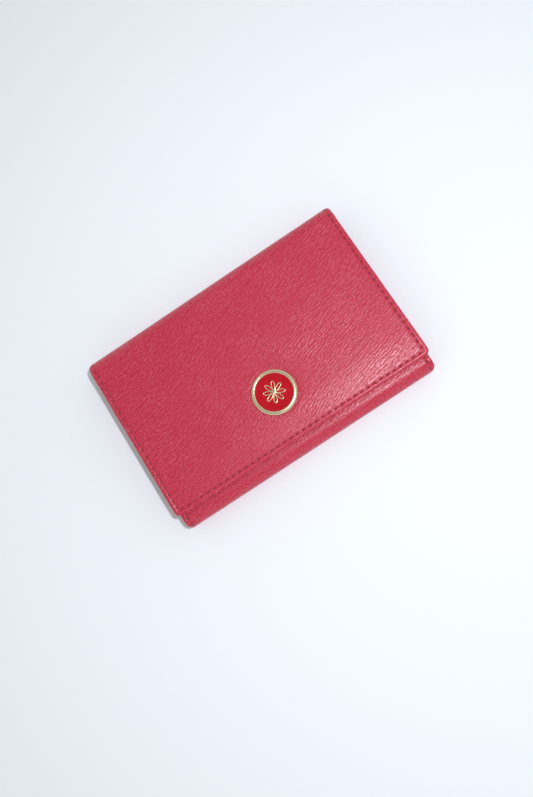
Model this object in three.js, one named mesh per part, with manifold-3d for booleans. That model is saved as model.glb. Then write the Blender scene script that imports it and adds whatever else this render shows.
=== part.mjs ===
// Card holder: a gusseted leather pocket closed by a flap with a press stud under a round badge.
// It lies shut on its back. Millimetres, +Z up: X runs along the fold, +Y points at the spine that the flap
// turns on, and -Y at the flap's free edge. The origin is the middle of the footprint, on the surface below.
import * as THREE from "three";
import { mergeVertices } from "three/addons/utils/BufferGeometryUtils.js";
import Module from "manifold-3d";

// ---- Driving sizes ----
const flapWidth = 108;
const height = 73; // spine to bottom roll
const flapOverhang = 1; // how far the flap stands past the body on each side
const flapReveal = 5.2; // strip of the front left bare below the flap
const flapDroop = 0.7; // how far the flap's free edge leans down to the front
const flapDroopLength = 9.5;
const mouthDrop = 12; // spine to the front's mouth
const slipDrop = 8.5; // spine to the slip pocket's mouth

// Each wall is a skin, a stiffening board and a lining, glued together.
const skin = 0.8;
const board = 0.3;
const lining = 0.5;
const glue = 0.05;

const pocketGap = 4.3; // the main pocket, empty
const slipGap = 0.3;
const slipSheet = 0.6;
const snapGap = 1.1; // room for the press stud between the front and the flap
const split = 0.1; // gap where one skin is parted into two nodes

const flapCorner = 2.6;
const bodyCorner = 1.8;
const boardInset = 3.6; // the boards stop short of the seams
const seamInset = 1.8; // edge to the middle of a stitch line
const grooveWidth = 0.7;
const grooveDepth = 0.25;
const threadWidth = 0.5;
const threadInset = 0.04; // clearance of a thread in its groove

const gussetSheet = 0.45;
const gussetFlange = 2.3; // the part of a gusset leaf that is sewn to a wall
const gussetReach = 4.9; // flange to the inward fold
const foldGap = 0.2; // between the two leaves at the inward fold
const gussetSetback = 0.2; // flange to the body's side

// Badge and press stud
const badgeRadius = 8.5;
const badgeHeight = 1.3;
const badgeRise = 23.9; // bottom roll to the badge's centre
const badgeFootBevel = 0.3;
const badgeRimBevel = 0.25;
const badgeRimWidth = 1.5;
const enamelThickness = 0.4;
const enamelDepth = 0.3; // rim to the enamel's face
const fitGap = 0.05; // between metal pieces pressed or glued together
const petals = 8;
const petalRoot = 0.5; // badge centre to the inner tip of a petal
const petalLength = 3.5;
const petalHalfWidth = 0.72;
const petalLine = 0.3;
const rosetteHubRadius = 0.8;
const rosetteThickness = 0.12;
const rivetFlangeRadius = 3.5;
const rivetFlange = 0.3;
const rivetRadius = 1.2;
const rivetFootRadius = 1.75;
const rivetFoot = 0.2;
const socketSheet = 0.22;
const socketWall = 0.5;
const socketLip = 1.15; // width of the lip that the spring wires lie on
const socketMouthClearance = 0.4; // round the stud's head, for its swing when the flap lifts
const socketFlangeWidth = 1;
const socketFlange = 0.25;
const studFlangeRadius = 3.2;
const studFlange = 0.25;
const studNeckRadius = 1.6;
const studHeadRadius = 1.95;
const studHead = 0.5;
const studBevel = 0.12;
const studPostRadius = 0.95;
const studPostFlangeRadius = 2.8;
const springWireRadius = 0.18;
const springClearance = 0.07; // wire to the stud's head
const workingGap = 0.1; // between snap pieces that move apart

// ---- Levels and lines worked out from them ----
const wall = skin + board + lining + 2 * glue;
const bodyWidth = flapWidth - 2 * flapOverhang;
const bodyThickness = 2 * wall + slipGap + slipSheet + pocketGap;
const flapUnder = bodyThickness + snapGap;
const closedThickness = flapUnder + wall;
const spineRadius = closedThickness / 2;
const rollRadius = bodyThickness / 2;
const spineY = height / 2;
const rollY = -height / 2;
const spineAxisY = spineY - spineRadius;
const rollAxisY = rollY + rollRadius;
const flapEdgeY = rollY + flapReveal;
const mouthY = spineY - mouthDrop;
const badgeY = rollY + badgeRise;
const slipZ = wall + slipGap;
const pocketZ = slipZ + slipSheet;
const frontZ = pocketZ + pocketGap;
const enamelRadius = badgeRadius - badgeRimWidth;
const socketMouthRadius = studHeadRadius + socketMouthClearance;
const socketCavityRadius = socketMouthRadius + socketLip;
const socketRadius = socketCavityRadius + socketWall;
const socketFlangeRadius = socketRadius + socketFlangeWidth;
const innerSkinRadius = (outer) => outer - skin - glue; // a lining's outer radius inside a turned skin

const finishes = {
  leather: new THREE.MeshStandardMaterial({ color: 0xb8304a, roughness: 0.5, metalness: 0 }),
  lining: new THREE.MeshStandardMaterial({ color: 0xa82a42, roughness: 0.6, metalness: 0 }),
  board: new THREE.MeshStandardMaterial({ color: 0x9c8468, roughness: 0.9, metalness: 0 }),
  thread: new THREE.MeshStandardMaterial({ color: 0x6e1626, roughness: 0.7, metalness: 0 }),
  brass: new THREE.MeshStandardMaterial({ color: 0xc2a266, roughness: 0.28, metalness: 1 }),
  enamel: new THREE.MeshStandardMaterial({ color: 0xc8102a, roughness: 0.15, metalness: 0 }),
  steel: new THREE.MeshStandardMaterial({ color: 0xb0b3b6, roughness: 0.3, metalness: 1 }),
};

const wasm = await Module();
wasm.setup();

// ---- Geometry helpers ----
function solidOf(geometry) {
  const bare = geometry.index ? geometry.toNonIndexed() : geometry.clone();
  bare.deleteAttribute("normal");
  bare.deleteAttribute("uv");
  const merged = mergeVertices(bare, 1e-4);
  const mesh = new wasm.Mesh({
    numProp: 3,
    vertProperties: merged.attributes.position.array,
    triVerts: new Uint32Array(merged.index.array),
  });
  return new wasm.Manifold(mesh);
}

function geometryOf(solid) {
  const mesh = solid.getMesh();
  const geometry = new THREE.BufferGeometry();
  geometry.setAttribute("position", new THREE.BufferAttribute(new Float32Array(mesh.vertProperties), 3));
  geometry.setIndex(new THREE.BufferAttribute(new Uint32Array(mesh.triVerts), 1));
  geometry.computeVertexNormals();
  return geometry;
}

// The first geometry with all the others cut out of it.
function cut(geometry, ...tools) {
  return geometryOf(tools.reduce((left, tool) => left.subtract(solidOf(tool)), solidOf(geometry)));
}

function join(first, ...others) {
  return geometryOf(others.reduce((whole, other) => whole.add(solidOf(other)), solidOf(first)));
}

function overlap(geometry, other) {
  return geometryOf(solidOf(geometry).intersect(solidOf(other)));
}

function box(width, y0, y1, z0, z1, x = 0) {
  return new THREE.BoxGeometry(width, y1 - y0, z1 - z0).translate(x, (y0 + y1) / 2, (z0 + z1) / 2);
}

function drum(radius, z0, z1, y = 0, segments = 32) {
  return new THREE.CylinderGeometry(radius, radius, z1 - z0, segments)
    .rotateX(Math.PI / 2)
    .translate(0, y, (z0 + z1) / 2);
}

// A rectangle seen from above, from y0 up to y1, with its own corner radius at each end.
function outline(width, y0, y1, cornerLow, cornerHigh) {
  const half = width / 2;
  const shape = new THREE.Shape();
  shape.moveTo(-half + cornerLow, y0);
  shape.lineTo(half - cornerLow, y0);
  if (cornerLow) shape.absarc(half - cornerLow, y0 + cornerLow, cornerLow, -Math.PI / 2, 0);
  shape.lineTo(half, y1 - cornerHigh);
  if (cornerHigh) shape.absarc(half - cornerHigh, y1 - cornerHigh, cornerHigh, 0, Math.PI / 2);
  shape.lineTo(-half + cornerHigh, y1);
  if (cornerHigh) shape.absarc(-half + cornerHigh, y1 - cornerHigh, cornerHigh, Math.PI / 2, Math.PI);
  shape.lineTo(-half, y0 + cornerLow);
  if (cornerLow) shape.absarc(-half + cornerLow, y0 + cornerLow, cornerLow, Math.PI, 1.5 * Math.PI);
  return shape;
}

function plate(shape, z0, z1) {
  return new THREE.ExtrudeGeometry(shape, { depth: z1 - z0, bevelEnabled: false, curveSegments: 6 })
    .translate(0, 0, z0);
}

// A side section drawn in Y and Z, carried across the width along X.
function across(section, width, curveSegments = 12) {
  const geometry = new THREE.ExtrudeGeometry(section, { depth: width, bevelEnabled: false, curveSegments });
  const turn = new THREE.Matrix4().makeBasis(
    new THREE.Vector3(0, 1, 0),
    new THREE.Vector3(0, 0, 1),
    new THREE.Vector3(1, 0, 0),
  );
  return geometry.applyMatrix4(turn).translate(-width / 2, 0, 0);
}

// A stretch of a turned skin: an arc about an axis along X, between two angles counted from +Y to +Z.
function turnedSkin(width, axisY, axisZ, outer, thickness, from, to) {
  const start = THREE.MathUtils.degToRad(from) + split / 2 / outer;
  const end = THREE.MathUtils.degToRad(to) - split / 2 / outer;
  const section = new THREE.Shape();
  section.absarc(axisY, axisZ, outer, start, end, false);
  section.absarc(axisY, axisZ, outer - thickness, end, start, true);
  return across(section, width, 6);
}

// A round piece about Z, from a profile of [radius, height] pairs that runs up its outside.
function turned(profile, segments = 32) {
  const points = profile.map(([radius, z]) => new THREE.Vector2(radius, z));
  return new THREE.LatheGeometry(points, segments).rotateX(Math.PI / 2);
}

function piece(name, finish, geometry, y = 0, z = 0) {
  const mesh = new THREE.Mesh(geometry, finishes[finish]);
  mesh.name = name;
  mesh.position.set(0, y, z);
  return mesh;
}

// ---- Walls: pieces are drawn with their underside at z = 0 and placed at their level ----
function skinPanel(width, y0, y1) {
  return plate(outline(width, y0 + split / 2, y1 - split / 2, 0, 0), 0, skin);
}

const sides = { left: -1, right: 1 };

// The two straight stitch grooves of a wall, as cutters between two heights.
function sideGrooves(width, y0, y1, z0, z1) {
  const seamX = width / 2 - seamInset;
  return Object.values(sides).map((side) => box(grooveWidth, y0, y1, z0, z1, side * seamX));
}

function sideThreads(prefix, width, y0, y1, z0, z1) {
  const seamX = width / 2 - seamInset;
  return Object.entries(sides).map(([name, side]) =>
    piece(`${prefix}_${name}_thread`, "thread", box(threadWidth, y0, y1, z0, z1, side * seamX)),
  );
}

// ---- Back: the wall that the holder lies on, the slip pocket and the rear halves of roll and gussets ----
function gussetLeaf(side, rear) {
  const outerX = bodyWidth / 2 - gussetSetback;
  const flangeX = outerX - gussetFlange;
  const foldX = flangeX - gussetReach;
  const wallZ = rear ? pocketZ + glue : frontZ - glue;
  const inward = rear ? 1 : -1;
  const foldZ = pocketZ + pocketGap / 2 - (inward * foldGap) / 2;
  const section = new THREE.Shape();
  section.moveTo(side * outerX, wallZ);
  section.lineTo(side * flangeX, wallZ);
  section.lineTo(side * foldX, foldZ - inward * gussetSheet);
  section.lineTo(side * foldX, foldZ);
  section.lineTo(side * flangeX, wallZ + inward * gussetSheet);
  section.lineTo(side * outerX, wallZ + inward * gussetSheet);
  section.closePath();
  const length = mouthY - gussetSetback - rollAxisY;
  return new THREE.ExtrudeGeometry(section, { depth: length, bevelEnabled: false })
    .rotateX(Math.PI / 2)
    .translate(0, mouthY - gussetSetback, 0);
}

function gussetLeaves(rear) {
  const place = rear ? "rear" : "front";
  return Object.entries(sides).map(([name, side]) =>
    piece(`${name}_gusset_${place}_leaf`, "lining", gussetLeaf(side, rear)),
  );
}

function makeBack() {
  const back = new THREE.Group();
  const leather = cut(
    skinPanel(bodyWidth, rollAxisY, spineAxisY),
    ...sideGrooves(bodyWidth, rollAxisY - 1, spineAxisY + 1, -1, grooveDepth),
  );
  const boardShape = outline(bodyWidth - 2 * boardInset, rollAxisY + 1, spineAxisY - 1, 1, 1);
  const liningShape = outline(bodyWidth, rollAxisY, spineAxisY - split / 2, 0, 0);
  const slipShape = outline(bodyWidth, rollAxisY, spineY - slipDrop, 0, 1);
  const threadTop = grooveDepth - threadInset;
  back.add(
    piece("back_leather", "leather", leather),
    piece("back_board", "board", plate(boardShape, 0, board), 0, skin + glue),
    piece("back_lining", "lining", plate(liningShape, 0, lining), 0, skin + board + 2 * glue),
    piece("slip_pocket", "lining", plate(slipShape, 0, slipSheet), 0, slipZ),
    ...rollPieces("rear", 180, 270),
    ...spinePieces("spine_root", bodyWidth, -90, -45),
    ...sideThreads("back", bodyWidth, rollAxisY + split, spineAxisY - split, threadInset, threadTop),
    ...gussetLeaves(true),
  );
  return back;
}

// ---- Bottom roll: the skin and lining turned from the back to the front, parted where they hinge ----
function rollPieces(place, from, to) {
  const corners = plate(outline(bodyWidth, rollY, rollY + height / 2, bodyCorner, 0), 0, bodyThickness);
  const leather = turnedSkin(bodyWidth, rollAxisY, rollRadius, rollRadius, skin, from, to);
  const inner = innerSkinRadius(rollRadius);
  return [
    piece(`bottom_roll_${place}_leather`, "leather", overlap(leather, corners)),
    piece(
      `bottom_roll_${place}_lining`,
      "lining",
      turnedSkin(bodyWidth - 2 * gussetSetback, rollAxisY, rollRadius, inner, lining, from, to),
    ),
  ];
}

// ---- Spine: the skin and lining turned from the back to the flap, in three stretches ----
function spinePieces(name, width, from, to) {
  const outer = turnedSkin(width, spineAxisY, spineRadius, spineRadius, skin, from, to);
  const inner = turnedSkin(width, spineAxisY, spineRadius, innerSkinRadius(spineRadius), lining, from, to);
  return [piece(`${name}_leather`, "leather", outer), piece(`${name}_lining`, "lining", inner)];
}

function makeSpine() {
  const spine = new THREE.Group();
  spine.add(...spinePieces("spine", flapWidth, -45, 45));
  return spine;
}

// ---- Flap ----
// The outer surface's height at y: flat, then leaning down to the free edge.
function flapTop(y) {
  const droopY = flapEdgeY + flapDroopLength;
  const share = Math.max(0, (droopY - y) / flapDroopLength);
  return closedThickness - flapDroop * share * share;
}

// A sheet of the flap between two depths below its outer surface.
function flapSheet(width, y0, y1, depth, thickness) {
  const steps = 12;
  const section = new THREE.Shape();
  const yAt = (step) => y0 + ((y1 - y0) * step) / steps;
  section.moveTo(y0, flapTop(y0) - depth - thickness);
  for (let step = 1; step <= steps; step++) {
    section.lineTo(yAt(step), flapTop(yAt(step)) - depth - thickness);
  }
  for (let step = steps; step >= 0; step--) {
    section.lineTo(yAt(step), flapTop(yAt(step)) - depth);
  }
  section.closePath();
  return across(section, width);
}

// A flat U seen from above: down both sides of the flap and along its free edge, of the given line width.
function seamPath(line) {
  const outer = flapWidth / 2 - seamInset + line / 2;
  const inner = outer - line;
  const low = flapEdgeY + seamInset - line / 2;
  const top = spineAxisY;
  const round = flapCorner - seamInset + line / 2;
  const bend = round + line;
  const shape = outline(2 * outer, low, top, bend, 0);
  const window = outline(2 * inner, low + line, top + 1, round, 0);
  return cut(plate(shape, 0, 2 * closedThickness), plate(window, -1, 2 * closedThickness + 1));
}

function makeFlap() {
  const flap = new THREE.Group();
  const rear = spineAxisY - split / 2;
  const rounded = (inset, corner) =>
    plate(outline(flapWidth - 2 * inset, flapEdgeY + inset, rear, corner, 0), 0, 2 * closedThickness);
  const leatherSheet = overlap(flapSheet(flapWidth, flapEdgeY, rear, 0, skin), rounded(0, flapCorner));
  const groove = overlap(
    flapSheet(flapWidth, flapEdgeY, spineAxisY + 1, -1, 1 + grooveDepth),
    seamPath(grooveWidth),
  );
  const thread = overlap(
    flapSheet(flapWidth, flapEdgeY, rear, threadInset, grooveDepth - 2 * threadInset),
    seamPath(threadWidth),
  );
  const leather = cut(leatherSheet, groove, drum(rivetRadius + fitGap, 0, 2 * closedThickness, badgeY));
  const socketHole = drum(socketRadius + fitGap, 0, 2 * closedThickness, badgeY);
  const boardSheet = flapSheet(flapWidth, flapEdgeY, rear - 1, skin + glue, board);
  const liningSheet = flapSheet(flapWidth, flapEdgeY, rear, skin + board + 2 * glue, lining);
  const boardOutline = rounded(boardInset, 1);
  flap.add(
    piece("flap_leather", "leather", leather),
    piece("flap_board", "board", cut(overlap(boardSheet, boardOutline), socketHole)),
    piece("flap_lining", "lining", cut(overlap(liningSheet, rounded(gussetSetback, flapCorner)), socketHole)),
    piece("flap_thread", "thread", thread),
    ...spinePieces("flap_root", flapWidth, 45, 90),
    ...badgePieces(),
    ...socketPieces(),
  );
  return flap;
}

// ---- Badge on the flap: drawn about its own axis with the flap's skin at z = 0 ----
// The outline of one petal: two equal arcs between its tips, drawn along +X and shrunk by an inset.
function petalOutline(Outline, inset) {
  const half = petalLength / 2;
  const radius = (half * half + petalHalfWidth * petalHalfWidth) / (2 * petalHalfWidth);
  const offset = radius - petalHalfWidth;
  const sweep = Math.acos(offset / (radius - inset));
  const middle = petalRoot + half;
  const outline = new Outline();
  outline.absarc(middle, -offset, radius - inset, Math.PI / 2 - sweep, Math.PI / 2 + sweep, false);
  outline.absarc(middle, offset, radius - inset, -Math.PI / 2 - sweep, -Math.PI / 2 + sweep, false);
  return outline;
}

function rosette() {
  const extrusion = { depth: rosetteThickness, bevelEnabled: false, curveSegments: 6 };
  const openPetals = Array.from({ length: petals }, (_, k) => {
    const petal = petalOutline(THREE.Shape, 0);
    petal.holes.push(petalOutline(THREE.Path, petalLine));
    return new THREE.ExtrudeGeometry(petal, extrusion).rotateZ((2 * Math.PI * k) / petals);
  });
  return join(drum(rosetteHubRadius, 0, rosetteThickness), ...openPetals);
}

function badgePieces() {
  const enamelZ = badgeHeight - enamelThickness - enamelDepth;
  const recessZ = rivetFlange + fitGap;
  const recessRadius = rivetFlangeRadius + fitGap;
  const wellRadius = enamelRadius + fitGap;
  const bezel = turned([
    [0, recessZ],
    [recessRadius, recessZ],
    [recessRadius, 0],
    [badgeRadius - badgeFootBevel, 0],
    [badgeRadius, badgeFootBevel],
    [badgeRadius, badgeHeight - 2 * badgeRimBevel],
    [badgeRadius - badgeRimBevel / 2, badgeHeight - badgeRimBevel / 2],
    [badgeRadius - 2 * badgeRimBevel, badgeHeight],
    [wellRadius + badgeRimBevel, badgeHeight],
    [wellRadius, badgeHeight - badgeRimBevel],
    [wellRadius, enamelZ - fitGap],
    [0, enamelZ - fitGap],
  ], 48);
  const level = closedThickness + glue;
  const rosetteZ = enamelZ + enamelThickness + fitGap;
  return [
    piece("badge_bezel", "brass", bezel, badgeY, level),
    piece("badge_enamel", "enamel", drum(enamelRadius, 0, enamelThickness, 0, 48), badgeY, level + enamelZ),
    piece("badge_rosette", "brass", rosette(), badgeY, level + rosetteZ),
  ];
}

// ---- Press stud ----
const socketRoofZ = flapUnder + lining + board + glue; // top of the socket, just below the flap's skin
const rivetFootZ = socketRoofZ - socketSheet - fitGap - rivetFoot;
const studTopZ = rivetFootZ - workingGap;
const studFlangeZ = bodyThickness + fitGap;
const socketLipZ = studFlangeZ + studFlange + workingGap;

function socketPieces() {
  const rivet = turned([
    [0, rivetFootZ],
    [rivetFootRadius, rivetFootZ],
    [rivetFootRadius, rivetFootZ + rivetFoot],
    [rivetRadius, rivetFootZ + rivetFoot],
    [rivetRadius, closedThickness + glue],
    [rivetFlangeRadius, closedThickness + glue],
    [rivetFlangeRadius, closedThickness + glue + rivetFlange],
    [0, closedThickness + glue + rivetFlange],
  ]);
  const flangeTop = flapUnder - fitGap;
  const socket = turned([
    [socketMouthRadius, socketLipZ],
    [socketRadius, socketLipZ],
    [socketRadius, flangeTop - socketFlange],
    [socketFlangeRadius, flangeTop - socketFlange],
    [socketFlangeRadius, flangeTop],
    [socketRadius, flangeTop],
    [socketRadius, socketRoofZ],
    [rivetRadius + fitGap, socketRoofZ],
    [rivetRadius + fitGap, socketRoofZ - socketSheet],
    [socketCavityRadius, socketRoofZ - socketSheet],
    [socketCavityRadius, socketLipZ + socketSheet],
    [socketMouthRadius, socketLipZ + socketSheet],
    [socketMouthRadius, socketLipZ],
  ]);
  const wireX = studHeadRadius + springClearance + springWireRadius;
  const halfWire = Math.sqrt(socketCavityRadius ** 2 - (wireX + springWireRadius) ** 2) - fitGap;
  const wire = new THREE.CylinderGeometry(springWireRadius, springWireRadius, 2 * halfWire, 10);
  const wireZ = socketLipZ + socketSheet + springWireRadius + fitGap;
  const springs = Object.entries(sides).map(([name, side]) =>
    piece(`socket_spring_${name}`, "steel", wire.clone().translate(side * wireX, 0, 0), badgeY, wireZ),
  );
  return [
    piece("snap_cap_rivet", "brass", rivet, badgeY),
    piece("snap_socket", "brass", socket, badgeY),
    ...springs,
  ];
}

function studPieces() {
  const headZ = studTopZ - studHead;
  const boreTop = studTopZ - socketSheet;
  const boreRadius = studPostRadius + fitGap;
  const stud = turned([
    [boreRadius, studFlangeZ],
    [studFlangeRadius, studFlangeZ],
    [studFlangeRadius, studFlangeZ + studFlange],
    [studNeckRadius, studFlangeZ + studFlange],
    [studNeckRadius, headZ],
    [studHeadRadius, headZ + studBevel],
    [studHeadRadius, studTopZ - studBevel],
    [studHeadRadius - 2 * studBevel, studTopZ],
    [0, studTopZ],
    [0, boreTop],
    [boreRadius, boreTop],
    [boreRadius, studFlangeZ],
  ]);
  const flangeZ = frontZ + lining + glue;
  const post = turned([
    [0, flangeZ],
    [studPostFlangeRadius, flangeZ],
    [studPostFlangeRadius, flangeZ + board],
    [studPostRadius, flangeZ + board],
    [studPostRadius, boreTop - fitGap],
    [0, boreTop - fitGap],
  ]);
  return [piece("snap_stud", "brass", stud, badgeY), piece("stud_rivet", "brass", post, badgeY)];
}

// ---- Front: the wall under the flap, with the stud and the front halves of roll and gussets ----
function makeFront() {
  const front = new THREE.Group();
  const leatherZ = frontZ + lining + board + 2 * glue;
  const leather = cut(
    plate(outline(bodyWidth, rollAxisY + split / 2, mouthY, 0, bodyCorner), 0, skin),
    ...sideGrooves(bodyWidth, rollAxisY - 1, mouthY + 1, skin - grooveDepth, skin + 1),
    drum(studPostRadius + fitGap, -1, skin + 1, badgeY),
  );
  const boardSheet = plate(
    outline(bodyWidth - 2 * boardInset, rollAxisY + 1, mouthY - boardInset, 1, 1),
    0,
    board,
  );
  const liningShape = outline(bodyWidth - 2 * gussetSetback, rollAxisY, mouthY, 0, bodyCorner);
  const threadZ = leatherZ + skin - grooveDepth + threadInset;
  const threadTop = leatherZ + skin - threadInset;
  front.add(
    piece("front_leather", "leather", leather, 0, leatherZ),
    piece(
      "front_board",
      "board",
      cut(boardSheet, drum(studPostFlangeRadius + fitGap, -1, board + 1, badgeY)),
      0,
      frontZ + lining + glue,
    ),
    piece("front_lining", "lining", plate(liningShape, 0, lining), 0, frontZ),
    ...rollPieces("front", 90, 180),
    ...sideThreads("front", bodyWidth, rollAxisY + split, mouthY - bodyCorner, threadZ, threadTop),
    ...gussetLeaves(false),
    ...studPieces(),
  );
  return front;
}

const cardHolder = new THREE.Group();
cardHolder.add(makeBack(), makeSpine(), makeFlap(), makeFront());
export default cardHolder;
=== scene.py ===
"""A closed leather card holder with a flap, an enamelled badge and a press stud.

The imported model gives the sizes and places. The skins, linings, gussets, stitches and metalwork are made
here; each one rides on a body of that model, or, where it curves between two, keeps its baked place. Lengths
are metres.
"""

from __future__ import annotations

import logging
import math
from dataclasses import dataclass, field
from enum import Enum
from typing import ClassVar, Sequence

import bmesh
import bpy
from mathutils import Matrix, Vector, noise

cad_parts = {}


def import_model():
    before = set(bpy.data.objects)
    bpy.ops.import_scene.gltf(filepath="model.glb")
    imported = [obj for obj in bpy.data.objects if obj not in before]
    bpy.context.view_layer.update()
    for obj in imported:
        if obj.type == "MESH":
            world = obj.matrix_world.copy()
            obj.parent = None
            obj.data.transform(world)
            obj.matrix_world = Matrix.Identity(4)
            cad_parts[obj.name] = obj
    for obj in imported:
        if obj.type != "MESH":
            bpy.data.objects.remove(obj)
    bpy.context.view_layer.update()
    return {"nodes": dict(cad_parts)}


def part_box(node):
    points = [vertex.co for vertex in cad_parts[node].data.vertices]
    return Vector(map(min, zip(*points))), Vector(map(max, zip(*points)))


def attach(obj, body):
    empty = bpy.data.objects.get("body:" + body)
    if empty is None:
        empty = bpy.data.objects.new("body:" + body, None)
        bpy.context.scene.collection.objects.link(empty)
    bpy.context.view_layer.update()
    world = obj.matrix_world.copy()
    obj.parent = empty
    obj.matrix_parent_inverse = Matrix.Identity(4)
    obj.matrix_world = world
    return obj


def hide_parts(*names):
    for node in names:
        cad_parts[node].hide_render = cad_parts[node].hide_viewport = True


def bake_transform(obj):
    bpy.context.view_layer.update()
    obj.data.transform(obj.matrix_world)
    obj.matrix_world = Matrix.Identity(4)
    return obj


MM = 0.001
SKIN_MAP = "skin"  # UV map: metres along the flat hide
INSET = "inset"  # attribute: metres from the nearest edge
TWIST_MAP = "twist"  # UV map: shares along and round a stitch
TWIST_ALONG, TWIST_ROUND = "twist_u", "twist_v"
BANDS = 10 / math.pi  # how many bands the Wave node draws in a metre at scale 1
FAR = 1.0  # further than any edge of the holder is from another
RELIEF_REACH = 8 * MM  # further in than this, a sheet's face is plain
LOG = logging.getLogger("card_holder")

Point = tuple[float, float, float]
Colour = tuple[float, float, float, float]


class Body(Enum):
    """The rigid bodies that pieces ride on."""

    BACK = "back"
    SPINE = "spine"
    FLAP = "flap"
    FRONT = "front"


class Slot(Enum):
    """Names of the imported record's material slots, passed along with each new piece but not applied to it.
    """

    LEATHER = "leather"
    LINING = "lining"
    THREAD = "thread"
    GILT = "gilt"
    ENAMEL = "enamel"
    STEEL = "spring_steel"


class Face(Enum):
    """Which way the good side of a sheet looks: away from the pocket, or into it."""

    OUTWARD = 1
    INWARD = -1


# ---------------------------------------------------------------------------------------------------------
# Node graphs
# ---------------------------------------------------------------------------------------------------------


class Wire:
    """One node output that takes part in Python arithmetic; an operator adds a Math node."""

    def __init__(self, graph: Graph, socket: bpy.types.NodeSocket) -> None:
        """Keep the graph and the socket."""
        self.graph = graph
        self.socket = socket

    def _math(self, operation: str, *values: Wire | float) -> Wire:
        """Add a Math node.

        Args:
            operation: the Math node's operation.
            values: what goes in, in order.

        Returns:
            The node's result.
        """
        return self.graph.node("ShaderNodeMath", {"operation": operation}, dict(enumerate(values)))

    def __add__(self, other: Wire | float) -> Wire:
        """Sum."""
        return self._math("ADD", self, other)

    __radd__ = __add__

    def __sub__(self, other: Wire | float) -> Wire:
        """Difference."""
        return self._math("SUBTRACT", self, other)

    def __rsub__(self, other: float) -> Wire:
        """Difference from a number."""
        return self._math("SUBTRACT", other, self)

    def __mul__(self, other: Wire | float) -> Wire:
        """Product."""
        return self._math("MULTIPLY", self, other)

    __rmul__ = __mul__

    def __abs__(self) -> Wire:
        """Distance from zero."""
        return self._math("ABSOLUTE", self)

    def eased(self, low: float, high: float) -> Wire:
        """Rise smoothly from 0 to 1 between two values.

        Args:
            low: where it leaves 0.
            high: where it reaches 1.

        Returns:
            The eased value.
        """
        settings = {"interpolation_type": "SMOOTHSTEP"}
        return self.graph.node("ShaderNodeMapRange", settings, {"Value": self, 1: low, 2: high})


class Graph:
    """A node tree, and the one way that nodes are added to it."""

    def __init__(self, tree: bpy.types.NodeTree) -> None:
        """Start from an empty tree."""
        self.tree = tree
        tree.nodes.clear()

    def node(
        self,
        kind: str,
        settings: dict | None = None,
        inputs: dict | None = None,
        output: int | str = 0,
    ) -> Wire:
        """Add a node.

        Args:
            kind: the node's type.
            settings: what is set before the sockets; "stops" fills a ramp with (position, colour) pairs.
            inputs: a value or a Wire for each input, by name or number.
            output: the output that is wanted.

        Returns:
            That output.
        """
        made = self.tree.nodes.new(kind)
        for key, value in (settings or {}).items():
            if key == "stops":
                self._fill_ramp(made.color_ramp, value)
            else:
                setattr(made, key, value)
        for key, value in (inputs or {}).items():
            if isinstance(value, Wire):
                self.tree.links.new(value.socket, made.inputs[key])
            else:
                made.inputs[key].default_value = value
        return Wire(self, made.outputs[output] if made.outputs else None)

    @staticmethod
    def _fill_ramp(ramp: bpy.types.ColorRamp, stops: Sequence[tuple[float, Colour]]) -> None:
        """Set a ramp's stops.

        Args:
            ramp: the ramp.
            stops: position and colour of each stop, in order.
        """
        while len(ramp.elements) < len(stops):
            ramp.elements.new(0.5)
        for element, (position, colour) in zip(ramp.elements, stops):
            element.position = position
            element.color = colour

    def vector(self, operation: str, *values: Wire | Point) -> Wire:
        """Add a Vector Math node.

        Args:
            operation: the node's operation.
            values: what goes in, in order.

        Returns:
            The resulting vector.
        """
        return self.node("ShaderNodeVectorMath", {"operation": operation}, dict(enumerate(values)))

    def mixed(self, share: Wire | float, first: Wire | Colour, second: Wire | Colour) -> Wire:
        """Mix two colours.

        Args:
            share: how much of the second.
            first: the colour at 0.
            second: the colour at 1.

        Returns:
            The mixed colour.
        """
        return self.node("ShaderNodeMix", {"data_type": "RGBA"}, {0: share, 6: first, 7: second}, 2)

    def own_place(self) -> Wire:
        """Read the place on the piece itself."""
        return self.node("ShaderNodeTexCoord", None, None, "Object")

    def noise(self, place: Wire, scale: float, detail: float = 2.0, roughness: float = 0.5) -> Wire:
        """Sample a noise.

        Args:
            place: where to sample it.
            scale: cells in a metre.
            detail: octaves.
            roughness: how strong the finer octaves are.

        Returns:
            A value about 0.5.
        """
        inputs = {"Vector": place, "Scale": scale, "Detail": detail, "Roughness": roughness}
        return self.node("ShaderNodeTexNoise", None, inputs)

    def bump(self, height: Wire, distance: float) -> Wire:
        """Turn a height into a normal.

        Args:
            height: 0 to 1.
            distance: how far 1 stands above 0.

        Returns:
            The normal.
        """
        return self.node("ShaderNodeBump", None, {"Strength": 1.0, "Distance": distance, "Height": height})

    def surface(self, inputs: dict) -> None:
        """End the graph in a Principled shader.

        Args:
            inputs: a value or a Wire for each of its inputs.
        """
        shader = self.node("ShaderNodeBsdfPrincipled", None, inputs)
        self.node("ShaderNodeOutputMaterial", None, {"Surface": shader})


# ---------------------------------------------------------------------------------------------------------
# Finishes
# ---------------------------------------------------------------------------------------------------------


@dataclass(frozen=True)
class Finish:
    """A finish that is built node by node."""

    name: str

    def build(self) -> bpy.types.Material:
        """Make the material.

        Returns:
            The material.
        """
        material = bpy.data.materials.new(self.name)
        material.use_nodes = True
        self._paint(Graph(material.node_tree))
        return material

    def _paint(self, graph: Graph) -> None:
        """Lay the nodes; each finish has its own."""
        raise NotImplementedError


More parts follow.
